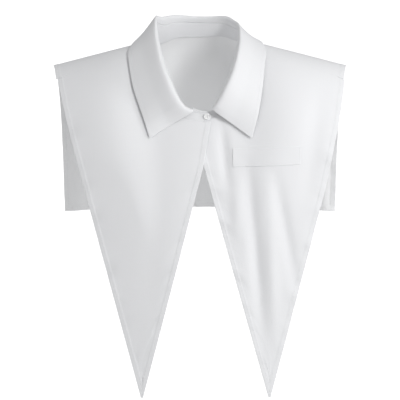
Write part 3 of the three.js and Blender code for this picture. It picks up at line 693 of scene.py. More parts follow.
def front_cloth(side, folds, inner_edge, outer_edge):
    """One front, with its columns, rows and the first hemmed row, for sewing."""
    neck, opening = front_rows(side, inner_edge, outer_edge)
    rows = np.vstack([neck, opening])
    first_open = len(neck)
    fade = np.clip(1 - np.arange(len(rows)) / first_open, 0, 1) ** 2
    xs, zs = [], []
    for (inner_x, inner_z, outer_x, outer_z), keep in zip(rows, fade):
        share = edge_spread(abs(outer_x - inner_x), FRONT_COLUMNS)
        top_x, top_z = mix(rows[0, 0], rows[0, 2], share), mix(rows[0, 1], rows[0, 3], share)
        bow = keep * (form_height(top_x, FRONT_SEAM_Y) - top_z)
        xs.append(mix(inner_x, outer_x, share))
        zs.append(mix(inner_z, outer_z, share) + bow)
    x, z = np.array(xs), np.array(zs)
    points = front_point(side, folds, x, z)
    from_inner = lengths(points, 1)
    from_outer = from_inner[:, -1:] - from_inner
    from_top = lengths(points, 0)
    from_tip = from_top[-1:] - from_top
    past_open = np.arange(len(rows))[:, None] - first_open
    hemmed = np.clip((past_open + HEM_STARTS) / HEM_STARTS, 0, 1)
    free = np.clip(from_top / HELD_TOP, 0, 1) * np.clip(from_tip / HELD_TIP, 0, 1)
    loose = np.clip(past_open / LOOSE_ROWS, 0, 1) * free
    outer_waves = flutter(from_top, from_outer, OUTER_PHASE * side)
    inner_waves = flutter(from_top, from_inner, INNER_PHASE * side)
    points[..., 1] += free * outer_waves + loose * inner_waves
    inner_hem, outer_hem = (hem_thickness(edge, CLOTH, HEM_CLOTH) for edge in (from_inner, from_outer))
    inner_side = mix(CLOTH * fold_round(from_inner, CLOTH), inner_hem, hemmed)
    thickness = np.where(from_outer < from_inner, outer_hem, inner_side)
    thickness = thickness * fold_round(from_tip, HEM_CLOTH) * fold_round(from_top, CLOTH)
    flat = np.stack([x, -form_arc(x, z, -1)], axis=-1)
    return *grid_cloth(points, thickness, flat, turned=side < 0), first_open


RIGHT_FRONT = (RIGHT_FRONT_FOLDS, RIGHT_FRONT_INNER, RIGHT_FRONT_OUTER)
LEFT_FRONT = (LEFT_FRONT_FOLDS, LEFT_FRONT_INNER, LEFT_FRONT_OUTER)
right_cloth, right_shape, right_open = front_cloth(-1, *RIGHT_FRONT)
left_cloth, left_shape, left_open = front_cloth(1, *LEFT_FRONT)
front_right = cloth_object("front_right_cloth", right_cloth, POPLIN)
front_left = cloth_object("front_left_cloth", left_cloth, POPLIN)

# %% [markdown]
# ## Back
#
# The back is one piece that parts round the neck. It is made as two halves that share their middle
# line below the neck. Its top edge comes over the shoulder to meet the fronts. Its inner side gets a
# lighter paint: painted light, standing in for the light that comes through thin cloth from behind.

# %% Back
BACK_LENGTH = 235
# quarter turns round the form from the ridge, share of the half width
BACK_SIDE = [(-0.35, 0.965), (0, 1), (0.6, 0.98), (1.3, 0.965)]
# folds: the same columns as those of the fronts
BACK_FOLDS = [
    (-0.9, -0.88, 0.3, 0.6, 7, -3),
    (0.9, 0.88, 0.28, 0.6, 6, -3),
    (0.3, 0.34, 0.25, 0.6, 16, 3),
    (-0.35, -0.4, 0.25, 0.6, 18, 3),
]
BACK_SEAM_Y = -SHOULDER_SEAM_FORWARD + BACK_OFF_SEAM
SIDE_TURN_AT_NECK = 0.62
BACK_NECK_ROWS, BACK_OPEN_ROWS, BACK_COLUMNS = 44, 44, 40
BACK_NECK_STEPS = [0, 0.003, 0.008, 0.016]
# quarter turns round the form where the back starts to hang free, and over how many it gets free
HANGS_FROM, HANGS_OVER = 0.45, 0.3
SIDE_PHASE, LOWER_PHASE = 0.23, 0.5
# the straight rows end here, above the hem's own rows, which follow the lower edge
LAST_OPEN_SHARE = 0.86


def back_point(x, turn):
    """A place on the back: x and quarter turns round the form from the ridge."""
    side = np.where(turn < 0, -1, 1)
    angle = (math.pi / 2) * np.minimum(1, turn)
    y = form_depth(x, side) * np.sin(angle)
    below = (math.pi / 2) * np.maximum(0, turn - 1) * BACK_FALL
    z = ridge_height(x) - form_fall(x, side) * (1 - np.cos(angle)) - below
    return np.stack([x, y + fold_depth(BACK_FOLDS, x, z) * np.sin(angle), z], axis=-1)


def turn_at(x, y):
    """Quarter turns round the form at a depth."""
    return np.arcsin(y / form_depth(x, np.where(np.asarray(y) < 0, -1, 1))) / (math.pi / 2)


def hem_turn(x):
    """Quarter turns round the form at the back's lower edge."""
    return 1 + (ridge_height(x) - BACK_FALL + BACK_LENGTH) / (BACK_FALL * (math.pi / 2))


def back_half(side):
    """x and turn of every point of one half, row by row."""
    seam_x = BACK_SIDE[0][1] * SHOULDER_HALF_WIDTH
    side_top = turn_at(seam_x, BACK_SEAM_Y)
    neck_turn = turn_at(0.0, NECK_BACK_DEPTH)
    turn_mm = BACK_FALL * math.pi / 2
    neck_share = np.array(BACK_NECK_STEPS + list(np.linspace(0.03, 1, BACK_NECK_ROWS)[:-1]))
    hem_steps = np.array(EDGE_STEPS[::-1]) / turn_mm
    low_share = np.linspace(0, LAST_OPEN_SHARE, BACK_OPEN_ROWS)
    xs, turns = [], []
    neck = seam_point(mix(shoulder_station(side), LAST_STATION * side, neck_share))
    rows = []
    for (x, y, _), share in zip(neck, neck_share):
        rows.append((x, float(turn_at(x, y)), mix(side_top, SIDE_TURN_AT_NECK, share), None))
    for share in low_share:
        side_turn = mix(SIDE_TURN_AT_NECK, hem_turn(seam_x), share)
        rows.append((0.0, mix(neck_turn, hem_turn(0), share), side_turn, None))
    rows += [(0.0, 0, hem_turn(seam_x), step) for step in hem_steps]
    for number, (inner_x, inner_turn, outer_turn, from_hem) in enumerate(rows):
        outs = np.interp(outer_turn, *np.array(BACK_SIDE).T)
        outer_x = side * outs * SHOULDER_HALF_WIDTH
        share = edge_spread(abs(outer_x - inner_x), BACK_COLUMNS, first=False)
        x = mix(inner_x, outer_x, share)
        turn = mix(inner_turn, outer_turn, share)
        if number == 0:
            turn = turn_at(x, BACK_SEAM_Y)
        if from_hem is not None:
            turn = hem_turn(x) - from_hem
        xs.append(x)
        turns.append(turn)
    return np.array(xs), np.array(turns), len(neck)


def back_cloth():
    """The back, with the shape of each half's grid."""
    halves = [back_half(side) for side in (1, -1)]
    rows, columns = halves[0][0].shape
    first_open = halves[0][2]
    index, points, thickness, flat = [], [], [], []
    for number, (x, turn, _) in enumerate(halves):
        place = back_point(x, turn)
        from_middle = lengths(place, 1)
        from_side = from_middle[:, -1:] - from_middle
        from_seam = lengths(place, 0)
        from_hem = from_seam[-1:] - from_seam
        hanging = np.clip((turn - HANGS_FROM) / HANGS_OVER, 0, 1)
        side_waves = flutter(from_seam, from_side, SIDE_PHASE + number)
        place[..., 1] += hanging * (side_waves + flutter(from_middle, from_hem, LOWER_PHASE))
        from_edge = np.minimum(from_side, from_hem)
        thick = hem_thickness(from_edge, CLOTH, HEM_CLOTH) * fold_round(from_seam, CLOTH)
        index.append(np.arange(rows * columns).reshape(rows, columns) + number * rows * columns)
        points.append(place.reshape(-1, 3))
        thickness.append(thick.ravel())
        face = np.where(turn < 0, -1, 1)
        flat.append(np.stack([x, -face * form_arc(x, place[..., 2], face)], axis=-1).reshape(-1, 2))
    index[1][first_open:, 0] = index[0][first_open:, 0]
    cells = []
    for number, grid in enumerate(index):
        quad = np.stack([grid[:-1, :-1], grid[1:, :-1], grid[1:, 1:], grid[:-1, 1:]], axis=-1).reshape(-1, 4)
        cells.append(quad if number else quad[:, ::-1])
    cells, points = np.vstack(cells), np.vstack(points)
    used = np.unique(cells)
    renumber = np.full(len(points), -1)
    renumber[used] = np.arange(len(used))
    cloth = Cloth(points[used], renumber[cells], np.concatenate(thickness)[used], np.vstack(flat)[used])
    return cloth, [renumber[grid] for grid in index]


back, back_grids = back_cloth()
# the back's inner layer takes the lighter copy of the cotton, which is painted light from behind
back_piece = cloth_object("back_cloth", back, POPLIN, POPLIN_PAINTED_LIGHT)

# %% [markdown]
# ## Band
#
# The band stands up round the neck. The wearer's right end lies over the left and ends in a round
# tab, where the button is. The band holds interlining, so it is thick and smooth, and only its foot
# gets thin, where it is sewn in between the cloths.

# %% Band
BAND_HEIGHT, BAND_LEAN, BAND_TUCK, BAND_TILT = 18, 9, 2, 5
BAND_FOOT_CLOTH, BAND_FOOT_WIDTH = 0.3, 5
SEAM_ROOM = 0.05
# the tab on top and the end under it, which stands higher
UNDER_END_LIFT, TAB_END_X, UNDER_END_X, TAB_ROUNDING, TAB_NARROWS = 6, 13.5, -10, 7, 0.72
BAND_STEPS, BAND_END_STEPS = np.linspace(0.004, 0.985, 330), [0, 0.0003, 0.001, 0.002]
TAB_STEPS = 1 - 0.015 * np.linspace(0.93, 0, 24) ** 2
BAND_LEVELS = np.array([
    0, 0.004, 0.014, 0.03, 0.06, 0.12, 0.2, 0.35, 0.5, 0.65, 0.8, 0.88, 0.94, 0.97, 0.986, 0.996, 1,
])
BAND_SEWN_FROM_EDGE, BAND_SEWN_DEPTH, BAND_SEWN_SPREAD = 1.8, 0.16, 0.5


def band_shift(station):
    """Outward shift that parts the two ends of the band; the wearer's right end lies on top."""
    station = np.atleast_1d(station)
    point = seam_point(station)
    shift = np.where(station > LAST_STATION, 0.5, -0.5) * FRONT_LAP * lap_share(point[:, 0])
    return np.where(point[:, 1] > 0, 0, shift)[:, None]


def band_top(station):
    """Points of the band's upper edge."""
    station = np.atleast_1d(station)
    point = seam_point(station)
    x = point[:, 0]
    under_end = np.where(station < 2, np.maximum(0, (TAB_END_X - x) / (TAB_END_X - UNDER_END_X)), 0)
    lean = (BAND_LEAN * neck_value(LEAN_COLUMN, station))[:, None]
    point = point + seam_outward(station) * (band_shift(station) - lean)
    point[:, 2] += BAND_HEIGHT * neck_value(HEIGHT_COLUMN, station) + UNDER_END_LIFT * under_end
    side = np.where(np.mod(station, NECK_LOOP) > LAST_STATION, -1, 1)
    point[:, 2] -= side * BAND_TILT * neck_value(TILT_COLUMN, station)
    return point


def band_bottom(station):
    """Points of the band's foot, inside the neck seam."""
    station = np.atleast_1d(station)
    outward = seam_outward(station)
    inset = SEAM_ROOM + BAND_FOOT_CLOTH / 2 + (CLOTH / 2) * np.abs(outward[:, 1:2])
    point = seam_point(station) + outward * (band_shift(station) - inset)
    point[:, 2] -= BAND_TUCK
    return point


def band_cloth():
    """The band from its under end round the neck to its tab, with the shape of its grid."""
    start = station_where(-2, 2, lambda p: p[0] < UNDER_END_X)
    end = NECK_LOOP + station_where(-2, 2, lambda p: p[0] < TAB_END_X)
    share = np.concatenate([BAND_END_STEPS, BAND_STEPS, TAB_STEPS])
    station = mix(start, end, share)
    bottom, top = band_bottom(station), band_top(station)
    to_end = np.linalg.norm(top - top[-1], axis=1)
    near = (to_end < TAB_ROUNDING) & (share > 0.5)
    into_round = 1 - np.minimum(1, to_end / TAB_ROUNDING)
    cut = np.where(near, 1 - np.sqrt(np.clip(1 - into_round ** 2, 0, 1)), 0)
    height = np.linalg.norm(top - bottom, axis=1)
    moved = mix(BAND_LEVELS[None, :], 0.5, TAB_NARROWS * cut[:, None])
    points = mix(bottom[:, None, :], top[:, None, :], moved[..., None])
    along = lengths(mix(bottom, top, 0.5)[None], 1)[0]
    from_end = np.minimum(along, along[-1] - along)[:, None]
    edge = np.minimum(moved - moved[:, :1], moved[:, -1:] - moved) * height[:, None]
    edge = np.minimum(edge, from_end)
    sewn = BAND_SEWN_DEPTH * np.exp(-(((edge - BAND_SEWN_FROM_EDGE) / BAND_SEWN_SPREAD) ** 2))
    up = (moved - moved[:, :1]) * height[:, None] / BAND_FOOT_WIDTH
    foot_share = mix(BAND_FOOT_CLOTH / BAND_CLOTH, 1, np.clip(up, 0, 1))
    thickness = (BAND_CLOTH - sewn) * fold_round(edge, BAND_CLOTH) * foot_share
    flat = np.stack([np.broadcast_to(along[:, None], moved.shape), moved * height[:, None]], axis=-1)
    return *grid_cloth(points, thickness, flat), station


band, band_shape, band_stations = band_cloth()
band_piece = cloth_object("band_cloth", band, POPLIN_LINED)

# %% [markdown]
# ## Leaf
#
# The leaf is the part people call the collar. It rises from the top of the band inside the neck,
# rolls over and falls outside to a free edge. Each section across it is a smooth curve through six
# points, and the outer edge follows a table from the collar point round to the centre back. Where
# the fronts are parted by their lap, the middle of the leaf moves with them.

# %% Leaf
LEAF_REACH, LEAF_POINT_DROP, LEAF_BACK_REACH = 92, 115, 74
LEAF_RISE, LEAF_ROLL, LEAF_STAND, LEAF_SAG, LEAF_HUG = 7, 3.2, 20, 2, 4.5
LEAF_SEAM_ROOM, LEAF_LEAST_RISE, LEAF_ROLL_DROP = 0.08, 0.8, 0.3
LEAF_LEFT_END_X, LEAF_RIGHT_END_X = 16, -9
LEAF_STATIONS = [
    # shares of the reach on the wearer's right and left, drop or depth behind, height above the form
    (0.69, 0.708, "down", 1, 2.8),
    (0.755, 0.77, "down", 0.83, 4),
    (0.825, 0.815, "down", 0.67, 4.2),
    (0.923, 0.862, "down", 0.44, 4),
    (0.984, 0.9, "down", 0.2, 4),
    (1, 0.92, "down", 0.1, 4),
    (0.94, 0.875, "back", -0.05, 2.5),
    (0.86, 0.82, "back", 0.33, 3),
    (0.68, 0.66, "back", 0.66, 4),
    (0.38, 0.37, "back", 0.9, 5),
    (0, 0, "back", 1, 5),
]
LEAF_STEPS, LEAF_END_STEPS = np.linspace(0.004, 0.996, 300), np.array([0, 0.0002, 0.0006, 0.0012, 0.0022])
# places across the leaf, in mm from its foot and from its free edge, and how many lie between
LEAF_FOOT_MM = np.array([0, 0.06, 0.22, 0.5, 0.9])
LEAF_EDGE_MM = np.array([0, 0.06, 0.22, 0.5, 0.9, 2, 3.4, 4.4, 5, 5.6, 6.6])
LEAF_FOLD_FROM, LEAF_PAST_FOLD, LEAF_FOLD_COUNT, LEAF_FALL_COUNT = 1.8, 2, 20, 24
# points of a section's curve, the one where the fold ends, and the column of points that lies on the fold
LEAF_FINE_STEPS, LEAF_FOLD_STEP, LEAF_FOLD_COLUMN = 160, 96, 12
LEAF_STITCH, LEAF_SEWN_DEPTH, LEAF_SEWN_SPREAD, LEAF_TURNED_IN = 5, 0.2, 0.6, 0.12


def leaf_station_point(row, side):
    """The point of the free edge that a row of the table gives, on one side."""
    x = side * row[1 if side > 0 else 0] * LEAF_REACH
    kind, share, clear = row[2:]
    if kind == "down":
        z = -share * LEAF_POINT_DROP
        return (x, float(form_reach(x, z, -1)) - clear, z)
    y = share * LEAF_BACK_REACH
    return (x, y, float(form_height(x, y)) + clear)


leaf_left = [leaf_station_point(row, 1) for row in LEAF_STATIONS]
leaf_right = [leaf_station_point(row, -1) for row in LEAF_STATIONS[-2::-1]]
LEAF_EDGE = SmoothCurve(leaf_left + leaf_right, closed=False)


def leaf_section(station, edge):
    """Points across the leaf at one station, crowded at the fold and at the free edge."""
    outward = seam_outward(station)[0]
    top = band_top(station)[0]
    upward = top - band_bottom(station)[0]
    upward = upward / np.linalg.norm(upward)
    columns = (RISE_COLUMN, STAND_COLUMN, LEAN_COLUMN, HUG_COLUMN)
    rise, stand, lean, hug = (neck_value(column, np.array([station]))[0] for column in columns)
    forward = np.array([0, -LEAF_STAND * stand, 0])
    foot = top + LEAF_SEAM_ROOM * upward
    shoulder = foot + (LEAF_RISE * rise + LEAF_LEAST_RISE) * upward
    crest = shoulder + 0.5 * LEAF_ROLL * outward + 0.5 * forward + np.array([0, 0, 0.5 * LEAF_ROLL])
    fall = shoulder + LEAF_ROLL * outward + forward - np.array([0, 0, LEAF_ROLL_DROP])
    belly = mix(fall, edge, 0.5)
    front_lap = np.sign(belly[0]) * 0.5 * FRONT_LAP * lap_share(belly[0])
    belly += [0, LEAF_HUG * hug + front_lap, -LEAF_SAG * lean]
    curve = SmoothCurve([foot, shoulder, crest, fall, belly, edge], closed=False)
    fine = curve.at(np.linspace(0, 1, LEAF_FINE_STEPS))
    arc = lengths(fine[None], 1)[0]
    past_fold, length = arc[LEAF_FOLD_STEP] + LEAF_PAST_FOLD, arc[-1]
    places = np.concatenate([
        LEAF_FOOT_MM,
        np.linspace(LEAF_FOLD_FROM, past_fold, LEAF_FOLD_COUNT),
        np.linspace(past_fold, length - LEAF_EDGE_MM[-1], LEAF_FALL_COUNT)[1:-1],
        (length - LEAF_EDGE_MM)[::-1],
    ])
    points = np.stack([np.interp(places, arc, fine[:, axis]) for axis in range(3)], axis=1)
    return points, places, length


def leaf_cloth():
    """The leaf from its left point round the neck to its right one, with the shape of its grid."""
    start = station_where(-2, 2, lambda p: p[0] < LEAF_LEFT_END_X)
    end = NECK_LOOP + station_where(-2, 2, lambda p: p[0] < LEAF_RIGHT_END_X)
    share = np.concatenate([LEAF_END_STEPS, LEAF_STEPS, 1 - LEAF_END_STEPS[::-1]])
    spacing = len(LEAF_STATIONS) - 1
    points, across, from_edge = [], [], []
    for station in mix(start, end, share):
        on_left = station < LAST_STATION
        folded = min(station, NECK_LOOP - station)
        finish = start if on_left else NECK_LOOP - end
        place = (folded - finish) / (2 - finish) if folded < 2 else folded - 1
        along = place / (2 * spacing)
        row, places, length = leaf_section(station, LEAF_EDGE.at([along if on_left else 1 - along])[0])
        points.append(row)
        across.append(places)
        from_edge.append(length - places)
    points, across, from_edge = np.array(points), np.array(across), np.array(from_edge)
    along = lengths(points, 0)
    from_front = np.minimum(along, along[-1:] - along)
    edge = np.minimum(from_edge, from_front)
    sewn = LEAF_SEWN_DEPTH * np.exp(-(((edge - LEAF_STITCH) / LEAF_SEWN_SPREAD) ** 2))
    turned_in = LEAF_TURNED_IN * np.clip(1 - edge / HEM_WIDTH, 0, 1)
    thickness = (LEAF_CLOTH + turned_in - sewn) * fold_round(np.minimum(edge, across), LEAF_CLOTH)
    fold_line = along[:, LEAF_FOLD_COLUMN, None] + 0 * along
    return grid_cloth(points, thickness, np.stack([fold_line, across], axis=-1))


leaf, leaf_shape = leaf_cloth()
leaf_piece = cloth_object("leaf_cloth", leaf, POPLIN_LINED)

# %% [markdown]
# ## Pocket welt
#
# A welt is the narrow finished strip at the mouth of a breast pocket. Here it lies on the wearer's
# left front: its top edge is a fold, and its sides and foot are sewn down.

# %% Welt
WELT_LENGTH, WELT_HEIGHT, WELT_SLOPE, WELT_FROM_MIDDLE, WELT_DOWN = 86, 23, 3, 41, 128
WELT_LIFT = CLOTH / 2 + WELT_CLOTH / 2 + SEAM_ROOM
# the share of the front's folds that the stiffer welt takes on
WELT_FOLLOWS = 0.7
WELT_COLUMNS, WELT_ROWS = 40, 6


def welt_cloth():
    """The welt, laid on the wearer's left front, with the shape of its grid."""
    across = edge_spread(WELT_LENGTH, WELT_COLUMNS)
    down = edge_spread(WELT_HEIGHT, WELT_ROWS)
    x = WELT_FROM_MIDDLE + across[None, :] * WELT_LENGTH + 0 * down[:, None]
    z = -WELT_DOWN + across[None, :] * WELT_SLOPE - down[:, None] * WELT_HEIGHT
    folds = [(*fold, depth * WELT_FOLLOWS) for *fold, depth in LEFT_FRONT_FOLDS]
    points = front_point(1, folds, x, z)
    points[..., 1] -= WELT_LIFT
    sides = np.minimum(across, 1 - across)[None, :] * WELT_LENGTH
    ends = np.minimum(down, 1 - down)[:, None] * WELT_HEIGHT
    edge = np.minimum(sides, ends)
    thickness = WELT_CLOTH * fold_round(edge, WELT_CLOTH)
    return grid_cloth(points, thickness, np.stack([x, z], axis=-1))


welt, welt_shape = welt_cloth()
welt_piece = cloth_object("welt_cloth", welt, POPLIN_LINED)

# %% [markdown]
# ## Stitches
#
# Topstitching is a row of short raised threads a fixed way in from an edge, sunk at both ends where
# the thread dives into the cloth. Modelling each one by hand would be endless, so a node tree does it:
# it walks a path at an even pitch and sets a small arched thread at each step. The path carries two
# directions: lie is the way the cloth faces and run is the way the thread goes. Buttonholes use
# the same tree with the threads turned across the path and set close together.

# %% The stitch pattern
class Pattern(Tree):
    """A Geometry Nodes tree with named inputs, which turns an object's mesh into its result."""

    def __init__(self, name, inputs):
        self.tree = bpy.data.node_groups.new(name, "GeometryNodeTree")
        for label, kind in {"Geometry": "NodeSocketGeometry", **inputs}.items():
            self.tree.interface.new_socket(name=label, in_out="INPUT", socket_type=kind)
        self.tree.interface.new_socket(name="Result", in_out="OUTPUT", socket_type="NodeSocketGeometry")
        self.start = self.tree.nodes.new("NodeGroupInput")
        self.end = self.tree.nodes.new("NodeGroupOutput")

    def given(self, label):
        """One of the named inputs."""
        return Value(self, self.start.outputs[label])

    def applied(self, thing, values):
        """Runs the tree on an object and keeps the result as its plain mesh."""
        modifier = thing.modifiers.new(self.tree.name, "NODES")
        modifier.node_group = self.tree
        for item in self.tree.interface.items_tree:
            if item.in_out == "INPUT" and item.name in values:
                modifier[item.identifier] = values[item.name]
        done = thing.evaluated_get(bpy.context.evaluated_depsgraph_get())
        mesh = bpy.data.meshes.new_from_object(done)
        thing.modifiers.remove(modifier)
        thing.data = mesh


# thread widths that a stitch dips into the cloth at its ends, and that its curve is pulled up by
THREAD_DIP, THREAD_ARCH = 0.6, 1.5


def stitch_pattern():
    """The tree that sets a small arched thread at every step of a path."""
    inputs = {"Pitch": "NodeSocketFloat", "Length": "NodeSocketFloat", "Thread": "NodeSocketFloat"}
    nodes = Pattern("stitches", {**inputs, "Seed": "NodeSocketInt", "Material": "NodeSocketMaterial"})
    length, thread, seed = nodes.given("Length"), nodes.given("Thread"), nodes.given("Seed")
    path = nodes.node("GeometryNodeMeshToCurve", {}, {"Mesh": nodes.given("Geometry")})
    pitch = {"Curve": path, "Length": nodes.given("Pitch")}
    even = nodes.node("GeometryNodeResampleCurve", {"mode": "LENGTH"}, pitch)
    start, end = (
        nodes.node("ShaderNodeCombineXYZ", {}, {"X": length * half, "Z": thread * -THREAD_DIP})
        for half in (-0.5, 0.5)
    )
    top = nodes.node("ShaderNodeCombineXYZ", {}, {"Z": thread * THREAD_ARCH})
    arch = {"Resolution": 5, "Start": start, "Middle": top, "End": end}
    bow = nodes.node("GeometryNodeCurveQuadraticBezier", {}, arch)
    ring = nodes.node("GeometryNodeCurvePrimitiveCircle", {}, {"Resolution": 5, "Radius": thread * 0.5})
    tube = nodes.node("GeometryNodeCurveToMesh", {}, {"Curve": bow, "Profile Curve": ring, "Fill Caps": True})
    lie, run = (
        nodes.node("GeometryNodeInputNamedAttribute", {"data_type": "FLOAT_VECTOR"}, {"Name": name})
        for name in ("lie", "run")
    )
    axes = {"primary_axis": "Z", "secondary_axis": "X"}
    square = nodes.node("FunctionNodeAxesToRotation", axes, {"Primary Axis": lie, "Secondary Axis": run})
    vector = {"data_type": "FLOAT_VECTOR"}
    slight = {"Min": (-0.06, -0.06, -0.09), "Max": (0.06, 0.06, 0.09), "Seed": seed}
    angles = nodes.node("FunctionNodeRandomValue", vector, slight)
    lean = nodes.node("FunctionNodeEulerToRotation", {}, {"Euler": angles})
    by_lean = {"Rotation": square, "Rotate By": lean}
    turned = nodes.node("FunctionNodeRotateRotation", {"rotation_space": "LOCAL"}, by_lean)
    pull = {"Min": (0.9, 0.9, 0.75), "Max": (1.05, 1.1, 1.15), "Seed": seed}
    size = nodes.node("FunctionNodeRandomValue", vector, pull)
    placed = {"Points": even, "Instance": tube, "Rotation": turned, "Scale": size}
    sewn = nodes.node("GeometryNodeInstanceOnPoints", {}, placed)
    real = nodes.node("GeometryNodeRealizeInstances", {}, {"Geometry": sewn})
    smooth = nodes.node("GeometryNodeSetShadeSmooth", {}, {"Geometry": real})
    painted = {"Geometry": smooth, "Material": nodes.given("Material")}
    nodes.feed(nodes.end.inputs[0], nodes.node("GeometryNodeSetMaterial", {}, painted))
    return nodes


def thread_paint():
    """Spun cotton thread: a little lighter and smoother than the cloth, uneven along its length."""
    paint = Paint("cotton_thread")
    spot = paint.node("ShaderNodeTexCoord", {}, {}, "Object")
    uneven = noise(paint, spot, 900.0, 2.0)
    colours = {0: uneven, 6: (0.86, 0.865, 0.875, 1), 7: (0.76, 0.765, 0.78, 1)}
    paint.set(
        Base_Color=paint.node("ShaderNodeMix", {"data_type": "RGBA"}, colours, 2),
        Roughness=uneven * 0.2 + 0.5,
        Normal=paint.node("ShaderNodeBump", {}, {"Strength": 0.4, "Distance": 0.00005, "Height": uneven}),
        Sheen_Weight=0.1,
        Specular_IOR_Level=0.35,
    )
    return paint.material


STITCHES = stitch_pattern()
THREAD = thread_paint()
# pitch, length and thread width of each kind of stitch, in metres
TOPSTITCH = (0.0024, 0.0019, 0.00034)
BUTTON_BAR = (0.02, 0.0027, 0.00026)
BUTTONHOLE_STITCH = (0.00042, 0.0014, 0.0003)
print("stitch pattern:", len(STITCHES.tree.nodes), "nodes")

# %% [markdown]
# ## Rows of stitches
#
# A row of stitches is found on the cloth itself: a fixed distance in from the first line of a grid of
# its points, on its outer or its inner face. Turning the grid round gives the rows of the other edges.

# %% Paths on the cloth
# a row of stitches stops where the cloth gets narrower than this many times its distance from the edge
ROOM_FOR_STITCHES = 2.3


def grid_of(shape):
    """The numbers of a cloth's points, as the grid that they came from."""
    return np.arange(shape[0] * shape[1]).reshape(shape)


def row_at(cloth, grid, distance, face):
    """A path a distance in from the first row of a grid: its points and the way the cloth faces."""
    along = lengths(cloth.points[grid], 0)
    column = np.flatnonzero(along[-1] > ROOM_FOR_STITCHES * distance)
    low = np.clip((along[:, column] < distance).sum(axis=0) - 1, 0, len(grid) - 2)
    share = (distance - along[low, column]) / (along[low + 1, column] - along[low, column])
    near, far = grid[low, column], grid[low + 1, column]
    between = lambda values: mix(values[near], values[far], share[:, None])
    normal = face * between(cloth.normals)
    return between(cloth.points) + normal * between(cloth.thickness[:, None]) / 2, normal


def cut_ends(path, start, end):
    """A path without its first and last stretch."""
    points, normals = path
    along = lengths(points[None], 1)[0]
    inside = (along > start) & (along < along[-1] - end)
    return points[inside], normals[inside]


def stitch_piece(name, paths, seed, kind=TOPSTITCH, across=False):
    """All the stitches of one piece, as one mesh."""
    pitch, length, thread = kind
    points, edges, lie, run = [], [], [], []
    for place, normal in paths:
        first = len(points)
        way = np.gradient(place, axis=0)
        points += (place * MM).tolist()
        lie += normal.tolist()
        run += (np.cross(normal, way) if across else way).tolist()
        edges += [(n, n + 1) for n in range(first, len(points) - 1)]
    mesh = bpy.data.meshes.new(name)
    mesh.from_pydata(points, edges, [])
    for label, values in (("lie", lie), ("run", run)):
        layer = mesh.attributes.new(label, "FLOAT_VECTOR", "POINT")
        layer.data.foreach_set("vector", np.array(values, np.float32).ravel())
    thing = bpy.data.objects.new(name, mesh)
    bpy.context.scene.collection.objects.link(thing)
    values = {"Pitch": pitch, "Length": length, "Thread": thread, "Seed": seed, "Material": THREAD}
    STITCHES.applied(thing, values)
    print(name, len(paths), "rows,", len(thing.data.polygons), "faces")
    return thing


# %% Sew the pieces
# distances from the edge in mm
BAND_STITCH, WELT_STITCH, SHOULDER_STITCH = 1.9, 1.6, 2.2
# how much in mm the rows are cut short where they meet a seam
CUT_AT_SIDE, CUT_AT_SHOULDER, CUT_AT_WELT, CUT_AT_BAND = 1, 3, 0.8, 1
PAST_LEAF_FOLD = 26
BOTH_FACES = (1, -1)


def front_rows_of_stitches(cloth, shape, first_open):
    grid = grid_of(shape)
    paths = []
    for face in BOTH_FACES:
        paths.append(row_at(cloth, grid.T[:, first_open:], HEM_STITCH, face))
        paths.append(row_at(cloth, grid.T[::-1], HEM_STITCH, face))
    return paths


def back_rows_of_stitches():
    paths = []
    for face in BOTH_FACES:
        hems = [cut_ends(row_at(back, grid[::-1], HEM_STITCH, face), 0, HEM_STITCH) for grid in back_grids]
        paths.append(tuple(np.concatenate([left[::-1], right[1:]]) for left, right in zip(hems[0], hems[1])))
        for grid in back_grids:
            side = row_at(back, grid.T[::-1], HEM_STITCH, face)
            shoulder = row_at(back, grid, SHOULDER_STITCH, face)
            paths.append(cut_ends(side, CUT_AT_SIDE, HEM_STITCH))
            paths.append(cut_ends(shoulder, CUT_AT_SHOULDER, HEM_STITCH))
    return paths


def leaf_rows_of_stitches():
    grid = grid_of(leaf_shape)
    paths = []
    for face in BOTH_FACES:
        paths.append(cut_ends(row_at(leaf, grid.T[::-1], LEAF_STITCH, face), LEAF_STITCH, LEAF_STITCH))
        for end in (grid, grid[::-1]):
            paths.append(cut_ends(row_at(leaf, end[:, PAST_LEAF_FOLD:], LEAF_STITCH, face), 0, LEAF_STITCH))
    return paths


def band_rows_of_stitches():
    grid = grid_of(band_shape)
    paths = []
    for face in BOTH_FACES:
        for edge in (grid.T, grid.T[::-1]):
            paths.append(cut_ends(row_at(band, edge, BAND_STITCH, face), BAND_STITCH, CUT_AT_BAND))
    return paths


def welt_rows_of_stitches():
    grid = grid_of(welt_shape)
    left, right, foot = (row_at(welt, edge, WELT_STITCH, 1) for edge in (grid.T, grid.T[::-1], grid[::-1]))
    ends = [cut_ends(end, CUT_AT_WELT, WELT_STITCH) for end in (left, right)]
    return ends + [cut_ends(foot, WELT_STITCH, WELT_STITCH)]


right_rows = front_rows_of_stitches(right_cloth, right_shape, right_open)
left_rows = front_rows_of_stitches(left_cloth, left_shape, left_open)
ROWS_OF_STITCHES = {
    "front_panel_right": ("front_right_stitches", right_rows),
    "front_panel_left": ("front_left_stitches", left_rows),
    "back_panel": ("back_stitches", back_rows_of_stitches()),
    "collar_band": ("band_stitches", band_rows_of_stitches()),
    "collar_leaf": ("leaf_stitches", leaf_rows_of_stitches()),
    "pocket_welt": ("welt_stitches", welt_rows_of_stitches()),
}
FIRST_SEED = 2
SEWN = {
    node: stitch_piece(name, rows, seed)
    for seed, (node, (name, rows)) in enumerate(ROWS_OF_STITCHES.items(), FIRST_SEED)
}

# %% [markdown]
# ## Button, thread and buttonhole
#
# A shirt button is a small pearly disc with a raised rim, a dished middle and four holes. It is turned
# from a profile, as a real one is cut on a lathe, and the holes are then bored. It sits where the
# packed button sits. The thread shows as two short bars across the dish, and it wraps into a stalk
# behind, which is as long as the cloth of the buttonhole is thick.

